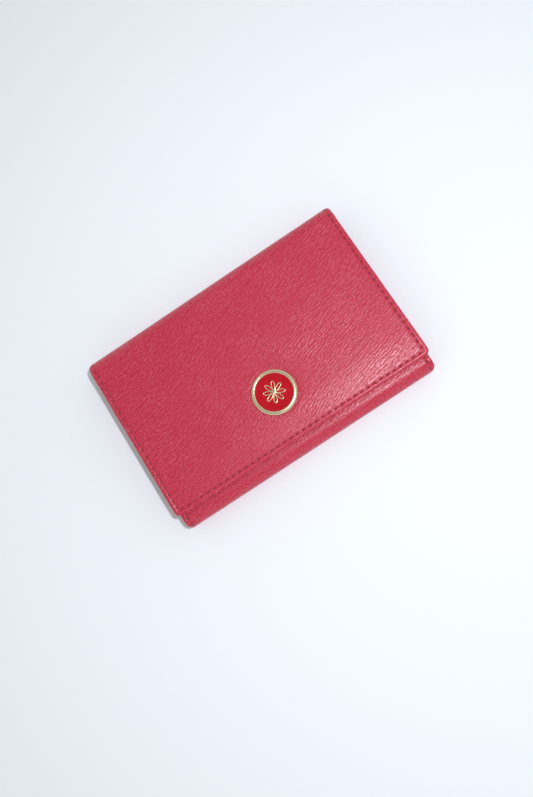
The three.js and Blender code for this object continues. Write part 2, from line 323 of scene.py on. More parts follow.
@dataclass(frozen=True)
class LeatherFinish(Finish):
    """Dyed leather with a boarded grain: short wavy ridges that mostly run one way, with painted shade in the
    creases and painted glints on the ridge tops.

    Its pattern lies in the skin map, which holds metres along the hide, so it follows every fold.
    """

    # The first colour is painted shade in the creases, and also the colour of random darker patches; the last
    # is painted glints on the ridge tops.
    crease_shade_and_dark_tone: Colour
    body: Colour
    ridge_glint: Colour
    relief: float = 0.078 * MM
    ridges_per_metre: float = 930.0
    run: float = 0.52  # how drawn out the ridges are: 1 is round
    heading: float = math.radians(19)
    sway_cells: float = 34.0  # slow bends of the ridges, cells in a metre
    sway: float = 7.0 * MM
    wriggle_cells: float = 420.0  # quick ones
    wriggle: float = 0.35 * MM
    # where the painted shade along the stitch groove lies, as a distance in from the edge
    seam_inset: float = 1.75 * MM
    roughness: float = 0.29

    @staticmethod
    def _shift(graph: Graph, place: Wire, cells: float, reach: Point) -> Wire:
        """Make a soft shift of places.

        Args:
            graph: the material's graph.
            place: where it is read.
            cells: cells in a metre.
            reach: how strong it is each way.

        Returns:
            The shift.
        """
        inputs = {"Vector": place, "Scale": cells, "Detail": 1.0}
        cloud = graph.node("ShaderNodeTexNoise", None, inputs, "Color")
        return graph.vector("MULTIPLY", graph.vector("SUBTRACT", cloud, (0.5, 0.5, 0.5)), reach)

    def _grain(self, graph: Graph, place: Wire) -> Wire:
        """Work out the grain's height.

        Args:
            graph: the material's graph.
            place: the skin map.

        Returns:
            The height, 0 in the creases to about 1 on the ridges.
        """
        sway = self._shift(graph, place, self.sway_cells, (0.0, self.sway, 0.0))
        wriggle = self._shift(graph, place, self.wriggle_cells, (self.wriggle,) * 3)
        bent = graph.vector("ADD", graph.vector("ADD", place, sway), wriggle)
        turned = graph.node(
            "ShaderNodeVectorRotate",
            {"rotation_type": "Z_AXIS"},
            {"Vector": bent, "Angle": -self.heading},
        )
        drawn = graph.vector("MULTIPLY", turned, (self.run, 1.0, 1.0))
        wave = {
            "Vector": drawn,
            "Scale": self.ridges_per_metre / BANDS,
            "Distortion": 8.0,
            "Detail": 1.0,
            "Detail Scale": 1.7,
        }
        bands = {"wave_type": "BANDS", "bands_direction": "Y"}
        ridges = graph.node("ShaderNodeTexWave", bands, wave, "Fac")
        fine = graph.noise(drawn, self.ridges_per_metre * 2.0, 0.5).eased(0.25, 0.75)
        pores = graph.noise(place, self.ridges_per_metre * 4.5, 1.0)
        return ridges * 0.42 + fine * 0.43 + pores * 0.15

    def _paint(self, graph: Graph) -> None:
        """Lay the nodes of the leather.

        Args:
            graph: the material's graph.
        """
        place = graph.node("ShaderNodeUVMap", {"uv_map": SKIN_MAP})
        inset = graph.node("ShaderNodeAttribute", {"attribute_name": INSET}, None, "Fac")
        grain = self._grain(graph, place)
        # Pressing, turning and handling flatten the grain along the edges and here and there on the face.
        worn = graph.noise(place, 60.0, 2.0).eased(0.35, 0.75) * 0.45 + 0.55
        pressed = inset.eased(0.2 * MM, 1.8 * MM) * 0.35 + 0.65
        height = grain * worn * pressed
        tone = graph.noise(place, 26.0, 3.0) * 0.5 + graph.noise(place, 900.0, 2.0) * 0.5
        # Painted shade: the creases are coloured darker than the body of the hide.
        colour = graph.mixed(grain.eased(0.18, 0.58), self.crease_shade_and_dark_tone, self.body)
        # Painted highlight: the ridge tops, where not worn flat, are coloured paler, as glints.
        colour = graph.mixed(grain.eased(0.52, 0.82) * worn, colour, self.ridge_glint)
        # Random darker patches of tone, in the same dark colour as the painted crease shade.
        colour = graph.mixed(tone.eased(0.35, 0.7) * 0.12, colour, self.crease_shade_and_dark_tone)
        # Painted shade: the hide is coloured darker along the stitch groove.
        seam = 1.0 - abs(inset - self.seam_inset).eased(0.15 * MM, 0.75 * MM)
        colour = graph.mixed(seam * 0.35, colour, self.crease_shade_and_dark_tone)
        rough = self.roughness + 0.16 * (1.0 - grain.eased(0.1, 0.8)) + 0.08 * tone
        graph.surface(
            {
                "Base Color": colour,
                "Roughness": rough,
                "Normal": graph.bump(height, self.relief),
                "Specular IOR Level": 0.5,
            }
        )


@dataclass(frozen=True)
class ThreadFinish(Finish):
    """Waxed two-ply thread, with painted shade between its plies; its twist lies in the twist map."""

    name: str = "waxed thread"
    # The dark colour is painted shade between the plies; the light one is their paler, lit crests.
    dark: Colour = (0.10, 0.004, 0.012, 1.0)
    light: Colour = (0.20, 0.012, 0.030, 1.0)

    def _paint(self, graph: Graph) -> None:
        """Lay the nodes of the thread.

        Args:
            graph: the material's graph.
        """
        place = graph.node("ShaderNodeUVMap", {"uv_map": TWIST_MAP})
        ply = graph.node(
            "ShaderNodeTexWave",
            {"wave_type": "BANDS", "bands_direction": "DIAGONAL"},
            {"Vector": place, "Scale": 2.2, "Distortion": 0.4},
            "Fac",
        )
        # Painted shade: following the bump's bands, the grooves between the plies are darker and the crests
        # lighter.
        colour = graph.mixed(ply, self.dark, self.light)
        normal = graph.bump(ply, 0.05 * MM)
        graph.surface({"Base Color": colour, "Roughness": 0.55, "Normal": normal, "Sheen Weight": 0.2})


@dataclass(frozen=True)
class MetalFinish(Finish):
    """Polished or drawn metal with fine wear."""

    bright: Colour
    dull: Colour
    roughness: float
    scratches: float = 0.006 * MM

    def _paint(self, graph: Graph) -> None:
        """Lay the nodes of the metal.

        Args:
            graph: the material's graph.
        """
        place = graph.own_place()
        film = graph.noise(place, 420.0, 3.0)
        drawn = graph.vector("MULTIPLY", place, (1.0, 9.0, 1.0))
        marks = graph.noise(drawn, 2600.0, 2.0, 0.6)
        colour = graph.mixed(film.eased(0.4, 0.75) * 0.5, self.bright, self.dull)
        rough = self.roughness + 0.10 * film.eased(0.4, 0.8) + 0.05 * marks
        normal = graph.bump(marks, self.scratches)
        graph.surface({"Base Color": colour, "Metallic": 1.0, "Roughness": rough, "Normal": normal})


@dataclass(frozen=True)
class EnamelFinish(Finish):
    """Hard glossy enamel, with a faint unevenness in its face and its colour."""

    name: str = "red enamel"
    deep: Colour = (0.43, 0.002, 0.010, 1.0)
    bright: Colour = (0.50, 0.004, 0.015, 1.0)

    def _paint(self, graph: Graph) -> None:
        """Lay the nodes of the enamel.

        Args:
            graph: the material's graph.
        """
        place = graph.own_place()
        cloud = graph.noise(place, 240.0, 2.0)
        colour = graph.mixed(cloud.eased(0.3, 0.7), self.deep, self.bright)
        graph.surface(
            {
                "Base Color": colour,
                "Roughness": 0.10 + 0.06 * cloud,
                "Normal": graph.bump(graph.noise(place, 500.0, 1.0), 0.01 * MM),
                "Specular IOR Level": 0.3,
                "Coat Weight": 0.2,
                "Coat Roughness": 0.06,
            }
        )


@dataclass(frozen=True)
class BoardFinish(Finish):
    """Raw pressed board."""

    name: str = "pressed board"
    pale: Colour = (0.36, 0.26, 0.16, 1.0)
    dark: Colour = (0.22, 0.15, 0.09, 1.0)

    def _paint(self, graph: Graph) -> None:
        """Lay the nodes of the board.

        Args:
            graph: the material's graph.
        """
        fibre = graph.noise(graph.vector("MULTIPLY", graph.own_place(), (1.0, 5.0, 1.0)), 900.0, 4.0)
        colour = graph.mixed(fibre, self.dark, self.pale)
        graph.surface({"Base Color": colour, "Roughness": 0.9, "Normal": graph.bump(fibre, 0.03 * MM)})


@dataclass(frozen=True)
class FloorFinish(Finish):
    """The pale table top."""

    name: str = "pale table"
    tint: Colour = (0.86, 0.89, 0.93, 1.0)
    shade: Colour = (0.80, 0.83, 0.88, 1.0)

    def _paint(self, graph: Graph) -> None:
        """Lay the nodes of the table top.

        Args:
            graph: the material's graph.
        """
        haze = graph.noise(graph.own_place(), 9.0, 2.0)
        colour = graph.mixed(haze * 0.06, self.tint, self.shade)
        graph.surface({"Base Color": colour, "Roughness": 0.7, "Specular IOR Level": 0.2})


class Wardrobe:
    """Every finish of the holder, made once."""

    def __init__(self) -> None:
        """Build the materials."""
        # Each leather's crease colour is painted shade, and its ridge colour is painted glints.
        self.leather = LeatherFinish(
            name="grained leather",
            crease_shade_and_dark_tone=(0.43, 0.008, 0.030, 1.0),
            body=(0.51, 0.022, 0.058, 1.0),
            ridge_glint=(0.58, 0.075, 0.130, 1.0),
        ).build()
        self.lining = LeatherFinish(
            name="smooth lining",
            crease_shade_and_dark_tone=(0.30, 0.022, 0.045, 1.0),
            body=(0.42, 0.040, 0.074, 1.0),
            ridge_glint=(0.50, 0.07, 0.11, 1.0),
            relief=0.02 * MM,
            ridges_per_metre=1100.0,
            run=0.8,
            roughness=0.55,
        ).build()
        self.thread = ThreadFinish().build()
        self.gilt = MetalFinish("gilt brass", (0.76, 0.65, 0.43, 1.0), (0.56, 0.47, 0.28, 1.0), 0.22).build()
        self.steel = MetalFinish("drawn steel", (0.66, 0.66, 0.67, 1.0), (0.5, 0.5, 0.51, 1.0), 0.25).build()
        self.enamel = EnamelFinish().build()
        self.board = BoardFinish().build()
        self.floor = FloorFinish().build()


# ---------------------------------------------------------------------------------------------------------
# Sizes and the run of the hide
# ---------------------------------------------------------------------------------------------------------


def smooth(share: float) -> float:
    """Ease from 0 to 1 as a share goes from 0 to 1."""
    share = min(1.0, max(0.0, share))
    return share * share * (3 - 2 * share)


@dataclass(frozen=True)
class Turn:
    """A round turn of the hide about an axis along X."""

    y: float
    z: float
    radius: float

    def foot(self) -> Point:
        """Its lowest point."""
        return (0.0, self.y, self.z - self.radius)

    def crown(self) -> Point:
        """Its highest point."""
        return (0.0, self.y, self.z + self.radius)


@dataclass(frozen=True)
class Sizes:
    """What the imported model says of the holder."""

    flap_half: float
    body_half: float
    flap_edge: float
    mouth: float
    slip_mouth: float
    flap_top: float
    body_top: float
    droop: float
    wall: float
    slip_low: float
    slip_high: float
    spine: Turn
    roll: Turn
    badge: Vector
    badge_radius: float

    @classmethod
    def read(cls) -> Sizes:
        """Read them from the nodes' boxes.

        Returns:
            The sizes.
        """
        flap_low, flap_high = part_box("flap_leather")
        front_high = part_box("front_leather")[1]
        back_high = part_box("back_leather")[1]
        lining_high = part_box("back_lining")[1]
        slip_low, slip_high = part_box("slip_pocket")
        badge_low, badge_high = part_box("badge_bezel")
        spine_radius = flap_high.z / 2
        roll_radius = front_high.z / 2
        spine_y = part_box("spine_leather")[1].y - spine_radius
        roll_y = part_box("bottom_roll_rear_leather")[0].y + roll_radius
        middle = (badge_low + badge_high) / 2
        return cls(
            flap_half=flap_high.x,
            body_half=back_high.x,
            flap_edge=flap_low.y,
            mouth=front_high.y,
            slip_mouth=slip_high.y,
            flap_top=flap_high.z,
            body_top=front_high.z,
            droop=flap_high.z - back_high.z - flap_low.z,
            wall=lining_high.z,
            slip_low=slip_low.z,
            slip_high=slip_high.z,
            spine=Turn(spine_y, spine_radius, spine_radius),
            roll=Turn(roll_y, roll_radius, roll_radius),
            badge=Vector((middle.x, middle.y, badge_low.z)),
            badge_radius=(badge_high.x - badge_low.x) / 2,
        )


@dataclass
class Hide:
    """The outer line of the leather seen from the side, in one run: front, bottom roll, back, spine, flap.

    Places on it are distances from the middle of the spine, positive towards the flap's free edge.
    """

    sizes: Sizes
    droop_length: float = 13.0 * MM
    droop_share: float = 1.3  # soft leather drops a little further than its board
    side_droop: float = 0.42 * MM
    spine_corner: float = 2.0 * MM
    roll_corner: float = 1.2 * MM
    turn_easing: float = 3.5 * MM
    ripple: float = 0.075 * MM
    spine_easing: float = 16.0 * MM  # how far from the spine the flap lies quite loose
    badge_press: float = 0.09 * MM
    badge_press_width: float = 0.9 * MM
    badge_easing: float = 5.0 * MM
    flap_start: float = field(init=False)
    flap_end: float = field(init=False)
    back_start: float = field(init=False)
    back_end: float = field(init=False)
    front_start: float = field(init=False)
    front_end: float = field(init=False)

    def __post_init__(self) -> None:
        """Work out where each stretch begins and ends."""
        sizes = self.sizes
        quarter = math.pi / 2
        self.flap_start = quarter * sizes.spine.radius
        self.flap_end = self.flap_start + sizes.spine.y - sizes.flap_edge
        self.back_start = -self.flap_start
        self.back_end = self.back_start - (sizes.spine.y - sizes.roll.y)
        self.front_start = self.back_end - 2 * quarter * sizes.roll.radius
        self.front_end = self.front_start - (sizes.mouth - sizes.roll.y)

    def at(self, s: float) -> tuple[float, float, float, float]:
        """Find a place on the line.

        Args:
            s: distance from the middle of the spine.

        Returns:
            Y, Z and the outward normal's Y and Z.
        """
        sizes = self.sizes
        if s > self.flap_start:
            y = sizes.spine.y - (s - self.flap_start)
            share = self._drop_share(y)
            droop = sizes.droop * self.droop_share
            slope = 2 * droop * share / self.droop_length
            length = math.hypot(slope, 1)
            return y, sizes.flap_top - droop * share * share, -slope / length, 1 / length
        if s >= self.back_start:
            angle = s / sizes.spine.radius
            ny, nz = math.cos(angle), math.sin(angle)
            return sizes.spine.y + sizes.spine.radius * ny, sizes.spine.z + sizes.spine.radius * nz, ny, nz
        if s > self.back_end:
            return sizes.spine.y - (self.back_start - s), 0.0, 0.0, -1.0
        if s >= self.front_start:
            angle = (self.back_end - s) / sizes.roll.radius
            ny, nz = -math.sin(angle), -math.cos(angle)
            return sizes.roll.y + sizes.roll.radius * ny, sizes.roll.z + sizes.roll.radius * nz, ny, nz
        return sizes.roll.y + (self.front_start - s), sizes.body_top, 0.0, 1.0

    def _drop_share(self, y: float) -> float:
        """How far into the flap's drooping border a place is: 0 behind it, 1 at the free edge."""
        return max(0.0, 1 - (y - self.sizes.flap_edge) / self.droop_length)

    def half(self, s: float) -> float:
        """Find half the hide's width; the flap is wider than the body, and folds have rounded corners.

        Args:
            s: the place on the line.

        Returns:
            Half the width.
        """
        sizes = self.sizes
        share = smooth((s - self.back_start) / -self.back_start)
        half = sizes.body_half + (sizes.flap_half - sizes.body_half) * share
        y = self.at(s)[0]
        half -= self._corner(sizes.spine.y + sizes.spine.radius - y, self.spine_corner)
        half -= self._corner(y - sizes.roll.y + sizes.roll.radius, self.roll_corner)
        return half

    @staticmethod
    def _corner(reach: float, radius: float) -> float:
        """Find how much a rounded corner takes off the half width.

        Args:
            reach: distance in from the corner's end.
            radius: the corner's radius.

        Returns:
            What it takes off.
        """
        if reach >= radius:
            return 0.0
        short = radius - max(0.0, reach)
        return radius - math.sqrt(max(0.0, radius * radius - short * short))

    def turn_share(self, s: float) -> float:
        """Find how much a place belongs to a round turn, where there is no board.

        Args:
            s: the place on the line.

        Returns:
            1 in the turn, easing to 0 beyond it.
        """
        beyond_spine = abs(s) - self.flap_start
        beyond_roll = max(s - self.back_end, self.front_start - s)
        return 1 - smooth(max(0.0, min(beyond_spine, beyond_roll)) / self.turn_easing)

    def swell(self, x: float, s: float) -> float:
        """Find how far the whole wall stands out of its plain line, from padding, handling and its edges.

        Args:
            x: across the holder.
            s: along the hide.

        Returns:
            The height.
        """
        sizes = self.sizes
        wave = noise.noise(Vector((x / (19 * MM), s / (15 * MM), 4.7)))
        wave += 0.5 * noise.noise(Vector((x / (8 * MM), s / (7 * MM), 1.3)))
        ripple = self.ripple * wave
        if s <= 0:
            return (ripple - self.ripple) * 0.5
        ease = smooth(s / self.spine_easing)
        y = self.at(s)[0]
        sag = self.side_droop * abs(x / sizes.flap_half) ** 3.5 * (1 - 0.6 * self._drop_share(y))
        from_badge = math.hypot(x - sizes.badge.x, y - sizes.badge.y) - sizes.badge_radius
        ripple *= smooth(from_badge / self.badge_easing)
        pressed = self.badge_press * math.exp(-((from_badge / self.badge_press_width) ** 2))
        return ease * (ripple - sag - pressed) + (1 - ease) * (ripple - self.ripple) * 0.5


# ---------------------------------------------------------------------------------------------------------
# Mesh making
# ---------------------------------------------------------------------------------------------------------


@dataclass
class Shell:
    """Points, faces and per-point facts of one closed body that is being built."""

    points: list[Vector] = field(default_factory=list)
    skin: list[tuple[float, float]] = field(default_factory=list)
    inset: list[float] = field(default_factory=list)
    faces: list[tuple[int, ...]] = field(default_factory=list)

    def add(self, point: Vector, skin: tuple[float, float], inset: float) -> int:
        """Add a point.

        Args:
            point: where it is.
            skin: where it lies on the flat hide.
            inset: how far it is from the nearest edge.

        Returns:
            Its number.
        """
        self.points.append(point)
        self.skin.append(skin)
        self.inset.append(inset)
        return len(self.points) - 1

    def bridge(self, first: Sequence[int], second: Sequence[int]) -> None:
        """Join two rows of points with quads."""
        for a, b, c, d in zip(first, first[1:], second[1:], second):
            self.faces.append((a, b, c, d))

    def build(self, name: str, material: bpy.types.Material) -> bpy.types.Object:
        """Make the object.

        Args:
            name: its name.
            material: its finish.

        Returns:
            The object, at the origin, shaded smooth with its real corners kept sharp.
        """
        mesh = bpy.data.meshes.new(name)
        mesh.from_pydata([tuple(p) for p in self.points], [], self.faces)
        outward(mesh)
        layer = mesh.uv_layers.new(name=SKIN_MAP)
        for loop in mesh.loops:
            layer.data[loop.index].uv = self.skin[loop.vertex_index]
        mesh.attributes.new(INSET, "FLOAT", "POINT").data.foreach_set("value", self.inset)
        return finished(name, mesh, material)


def outward(mesh: bpy.types.Mesh) -> None:
    """Turn every face of a closed mesh outwards.

    Args:
        mesh: the mesh, changed in place.
    """
    work = bmesh.new()
    work.from_mesh(mesh)
    bmesh.ops.recalc_face_normals(work, faces=work.faces)
    work.to_mesh(mesh)
    work.free()


def finished(
    name: str, mesh: bpy.types.Mesh, material: bpy.types.Material, corner: float = math.radians(48)
) -> bpy.types.Object:
    """Link a mesh as an object with smooth shading.

    Args:
        name: the object's name.
        mesh: its mesh.
        material: its finish.
        corner: edges sharper than this stay sharp.

    Returns:
        The object.
    """
    mesh.shade_smooth()
    mesh.set_sharp_from_angle(angle=corner)
    mesh.materials.clear()
    mesh.materials.append(material)
    made = bpy.data.objects.new(name, mesh)
    bpy.context.scene.collection.objects.link(made)
    return made


def solid(
    name: str, work: bmesh.types.BMesh, material: bpy.types.Material, corner: float = math.radians(48)
) -> bpy.types.Object:
    """Turn the faces of a finished body outwards and make it an object.

    Args:
        name: the object's name.
        work: the body, which is freed.
        material: its finish.
        corner: edges sharper than this stay sharp.

    Returns:
        The object.
    """
    bmesh.ops.recalc_face_normals(work, faces=work.faces)
    mesh = bpy.data.meshes.new(name)
    work.to_mesh(mesh)
    work.free()
    return finished(name, mesh, material, corner)


def lathe(
    name: str,
    profile: Sequence[tuple[float, float]],
    centre: Vector,
    material: bpy.types.Material,
    segments: int = 128,
) -> bpy.types.Object:
    """Turn a profile about a vertical axis.

    Args:
        name: the object's name.
        profile: (radius, height) pairs that start and end on the axis, or close on themselves.
        centre: the foot of the axis.
        material: its finish.
        segments: steps round the axis.

    Returns:
        The object.
    """
    work = bmesh.new()
    rings: list[list[bmesh.types.BMVert]] = []
    for radius, height in profile:
        if radius < 1e-9:
            rings.append([work.verts.new(centre + Vector((0, 0, height)))])
            continue
        ring = []
        for k in range(segments):
            angle = 2 * math.pi * k / segments
            offset = Vector((radius * math.cos(angle), radius * math.sin(angle), height))
            ring.append(work.verts.new(centre + offset))
        rings.append(ring)
    pairs = list(zip(rings, rings[1:]))
    if len(rings[0]) > 1:
        pairs.append((rings[-1], rings[0]))
    for low, high in pairs:
        for k in range(segments):
            after = (k + 1) % segments
            corners = [low[k % len(low)], low[after % len(low)], high[after % len(high)], high[k % len(high)]]
            work.faces.new(list(dict.fromkeys(corners)))  # a ring on the axis is one point
    return solid(name, work, material, math.radians(40))


def arc_profile(points: Sequence[Point], steps: int = 5) -> list[tuple[float, float]]:
    """Round the corners of a profile.

    Args:
        points: (radius, height, corner radius) of each corner.
        steps: points in each rounded corner.

    Returns:
        The rounded profile.
    """
    rounded: list[tuple[float, float]] = []
    last = len(points) - 1
    for k, (radius, height, corner) in enumerate(points):
        here = Vector((radius, height))
        if corner <= 0 or k in (0, last):
            rounded.append((radius, height))
            continue
        before = (Vector(points[k - 1][:2]) - here).normalized() * corner
        after = (Vector(points[k + 1][:2]) - here).normalized() * corner
        for step in range(steps + 1):
            t = step / steps
            spot = here + before * (1 - t) ** 2 + after * t**2
            rounded.append((spot.x, spot.y))
    return rounded


# ---------------------------------------------------------------------------------------------------------
# Sheets of leather
# ---------------------------------------------------------------------------------------------------------


@dataclass(frozen=True)
class Station:
    """One step from the middle of a sheet out over its edge and back under it."""

    inset: float
    wrap: float  # share of the way down the edge
    back: bool = False  # on the sheet's back, past the turned-in border


@dataclass(frozen=True)
class Edge:
    """How the edge of a sheet is made: rounded over, with a turned-in border and a stitch line."""

    thickness: float
    border_thickness: float
    corner: float = 2.6 * MM
    round_over: float = 0.8 * MM
    border: float = 2.3 * MM
    seam_inset: float = 1.8 * MM
    groove: float = 0.2 * MM
    groove_width: float = 0.34 * MM
    slack: float = 0.35  # how deep the groove still is between two stitches
    bead: float = 0.1 * MM
    bead_inset: float = 0.95 * MM
    bead_width: float = 0.55 * MM
    pillow_share: float = 0.6  # the soft rise on the groove's inner side, beside the bead
    pillow_inset: float = 3.3 * MM
    pillow_width: float = 0.9 * MM

    def stations(self) -> list[Station]:
        """List the steps from where the corner's centre is, out over the edge and under the border.

        Returns:
            The steps.
        """
        seam = self.seam_inset
        insets = [self.corner]
        insets += [seam + step * MM for step in (0.6, 0.38, 0.19, 0.0, -0.19, -0.38, -0.62)]
        insets.append(self.round_over)
        steps = [Station(inset, 0.0) for inset in insets]
        for k in range(1, 11):
            angle = math.pi * k / 10
            steps.append(Station(self.round_over * (1 - math.sin(angle) ** 0.9), (1 - math.cos(angle)) / 2))
        steps.append(Station(self.border, 1.0))
        if self.border_thickness > self.thickness:
            steps.append(Station(self.border + 0.02 * MM, 1.0, True))
        return steps

    def relief(self, inset: float, pull: float) -> float:
        """How far the face stands out near the edge: a bead outside the stitch line and a groove on it.

        Args:
            inset: distance from the edge.
            pull: how hard the thread pulls here, 0 to 1.

        Returns:
            The height.
        """
        if not self.groove:
            return 0.0
        seam = math.exp(-(((inset - self.seam_inset) / self.groove_width) ** 2))
        bead = self.bead * math.exp(-(((inset - self.bead_inset) / self.bead_width) ** 2))
        rise = math.exp(-(((inset - self.pillow_inset) / self.pillow_width) ** 2))
        deep = self.slack + (1 - self.slack) * pull
        return bead + self.pillow_share * self.bead * rise - self.groove * deep * seam


def corner_way(turn: float) -> tuple[float, float]:
    """Go round a corner that is a little squarer than a circle.

    Args:
        turn: the angle turned through.

    Returns:
        How far out to the side and how far on along the hide, as shares of the corner's size.
    """
    squareness = 0.72
    return abs(math.cos(turn)) ** squareness, abs(math.sin(turn)) ** squareness


@dataclass
class Sheet:
    """One sheet of leather along a stretch of the hide's line, with turned edges at its sides.

    Its end edge can be free, and then it is turned as the sides are, round the corners too.
    """

    name: str
    hide: Hide
    start: float
    end: float
    edge: Edge
    face: Face = Face.OUTWARD
    base: float = 0.0
    turn_rise: float = 0.0  # how much nearer the outer face a lining lies in a round turn
    trim: float = 0.0
    free_end: bool = False
    step: float = 0.42 * MM
    pitch: float = 2.75 * MM
    inner_columns: int = 14
    heading: float = field(init=False)
    stop: float = field(init=False)
    middle: float = field(init=False)
    side_run: float = field(init=False)
    bend_run: float = field(init=False)
    stitches: int = field(init=False)

    def __post_init__(self) -> None:
        """Work out the direction it runs in, where its plain rows stop, and its stitches."""
        self.heading = math.copysign(1.0, self.end - self.start)
        self.stop = self.end - self.heading * self.edge.corner if self.free_end else self.end
        self.middle = self.half(self.stop) - self.edge.corner
        self.side_run = abs(self.stop - self.start)
        self.bend_run = math.pi / 2 * (self.edge.corner - self.edge.seam_inset)
        total = self.side_run
        if self.free_end:
            total = 2 * (self.side_run + self.bend_run + self.middle)
        self.stitches = max(1, round(total / self.pitch))
        self.pitch = total / self.stitches

    def half(self, s: float) -> float:
        """Half the sheet's width at a place."""
        return self.hide.half(s) - self.trim

    def facing(self, s: float) -> Vector:
        """The direction that the good face looks."""
        _, _, ny, nz = self.hide.at(s)
        return Vector((0, ny, nz)) * self.face.value

    def _pull(self, x: float, s: float) -> float:
        """Find how hard the nearest stitch pulls.

        Args:
            x: across the holder.
            s: along the hide.

        Returns:
            1 at a stitch's middle, 0 between two.
        """
        beyond = self.heading * (s - self.stop)
        plain = min(s, self.stop) if self.heading > 0 else max(s, self.stop)
        outside = abs(x) - (self.half(plain) - self.edge.corner)
        run = abs(s - self.start)
        if self.free_end and beyond > 0:
            turn = math.atan2(beyond, max(0.0, outside))
            run = self.side_run + turn * (self.edge.corner - self.edge.seam_inset)
            if outside <= 0:
                run += self.middle - abs(x)
        elif self.free_end and outside <= 0:
            run = self.side_run + self.bend_run + self.middle - abs(x)
        return 0.5 - 0.5 * math.cos(2 * math.pi * run / self.pitch)

    def spot(self, x: float, s: float, inset: float, depth: float) -> Vector:
        """Place a point of the sheet.

        Args:
            x: across the holder.
            s: along the hide.
            inset: distance from the sheet's edge.
            depth: below the sheet's good face.

        Returns:
            The point.
        """
        y, z, ny, nz = self.hide.at(s)
        share = min(1.0, max(0.0, 1 - depth / self.edge.thickness))
        relief = 0.0
        if share and inset < RELIEF_REACH:
            relief = self.edge.relief(inset, self._pull(x, s)) * share
        if self.face is Face.INWARD:
            base = self.base - self.turn_rise * self.hide.turn_share(s)
            level = base + self.edge.thickness - depth + relief
        else:
            level = self.base + depth - relief
        rise = self.hide.swell(x, s) - level
        return Vector((x, y + ny * rise, z + nz * rise))

    def _depth(self, station: Station, s: float) -> float:
        """Find how deep a station lies; the border thins out in a round turn.

        Args:
            station: the station.
            s: along the hide.

        Returns:
            The depth below the good face.
        """
        edge = self.edge
        if station.back:
            return edge.thickness
        spare = (edge.border_thickness - edge.thickness) * (1 - self.hide.turn_share(s))
        return station.wrap * (edge.thickness + max(spare, 0.0))

    def _spacing(self) -> float:
        return self.step * 1

    def _rows(self) -> list[float]:
        """List the places of the plain rows, from the start to where a free end's corner begins.

        Returns:
            The places along the hide.
        """
        count = max(6, round(self.side_run / self._spacing()))
        return [self.start + (self.stop - self.start) * k / count for k in range(count + 1)]

    def build(self, material: bpy.types.Material) -> bpy.types.Object:
        """Make the sheet.

        Args:
            material: its finish.

        Returns:
            The object, one closed body.
        """
        shell = Shell()
        stations = self.edge.stations()
        depths = [station.wrap * self.edge.border_thickness for station in stations]
        run = [0.0]
        for k in range(1, len(stations)):
            travel = math.hypot(stations[k].inset - stations[k - 1].inset, depths[k] - depths[k - 1])
            run.append(run[-1] + travel)
        corner = self.edge.corner
        across = max(2, round(2 * (self.half(self.start) - corner) / self._spacing()))
        columns = [(-1.0, k) for k in range(len(stations) - 1, 0, -1)]
        columns += [(2 * k / across - 1, 0) for k in range(across + 1)]
        columns += [(1.0, k) for k in range(1, len(stations))]
        rows = [(s, 0) for s in self._rows()]
        if self.free_end:
            rows += [(rows[-1][0], m) for m in range(1, len(stations))]

        grid = []
        for s, m in rows:
            middle = self.half(s) - corner
            line = []
            for share, k in columns:
                most = max(k, m)
                turn = math.pi / 4 * min(k, m) / most if most else 0.0
                if m > k:
                    turn = math.pi / 2 - turn
                station = stations[most]
                reach = corner - station.inset
                side, end = corner_way(turn) if most else (0.0, 0.0)
                side, end = math.copysign(side, share), self.heading * end
                inset = station.inset
                if not most:
                    inset = corner + min((1 - abs(share)) * middle, self._to_corner(s))
                place = s + reach * end
                depth = self._depth(station, place)
                point = self.spot(share * middle + reach * side, place, inset, depth)
                flat = (share * middle + run[most] * side, -(s + run[most] * end))
                if station.wrap:
                    inset = 0.3 * MM * (1 - station.wrap)
                line.append(shell.add(point, flat, inset))
            grid.append(line)
        for first, second in zip(grid, grid[1:]):
            shell.bridge(first, second)
        self._close(shell, grid, rows, stations[-1])
        LOG.info("%s: %d points", self.name, len(shell.points))
        return shell.build(self.name, material)

    def _to_corner(self, s: float) -> float:
        """How far a plain row is from where a free end's corner begins."""
        return abs(self.stop - s) if self.free_end else FAR

    def _close(
        self,
        shell: Shell,
        grid: list[list[int]],
        rows: list[tuple[float, int]],
        last: Station,
    ) -> None:
        """Add the back of the sheet between its borders, and the cut ends.

        Args:
            shell: the body that is being built.
            grid: the point numbers of the face and its borders.
            rows: each row's place and station.
            last: the border's last station.
        """
        inner = []
        for line, (s, m) in zip(grid, rows):
            if m:
                break
            reach = self.half(s) - last.inset
            between = []
            for k in range(1, self.inner_columns):
                x = (2 * k / self.inner_columns - 1) * reach
                point = self.spot(x, s, last.inset, self._depth(last, s))
                between.append(shell.add(point, (x, -s), 0.0))
            inner.append([line[0], *between, line[-1]])
        for first, second in zip(inner, inner[1:]):
            shell.bridge(second, first)
        shell.faces.append(tuple(grid[0] + inner[0][-2:0:-1]))
        if not self.free_end:
            shell.faces.append(tuple(grid[-1][::-1] + inner[-1][1:-1]))
            return
        turned = grid[len(inner) :]
        right = [line[-1] for line in turned]
        left = [line[0] for line in reversed(turned)]
        shell.faces.append(tuple(inner[-1] + right + grid[-1][-2:0:-1] + left))

    def seam(self) -> list[list[tuple[Vector, Vector]]]:
        """Trace the stitch line, a little below the face.

        Returns:
            Runs of (point, outward direction): one round a free end, or one for each side.
        """
        inset = self.edge.seam_inset
        depth = self.edge.groove * 0.85
        count = 60

        def traced(x: float, s: float) -> tuple[Vector, Vector]:
            """Place a point of the line, on the plain face, with its outward direction."""
            return self.spot(x, s, RELIEF_REACH, depth), self.facing(s)

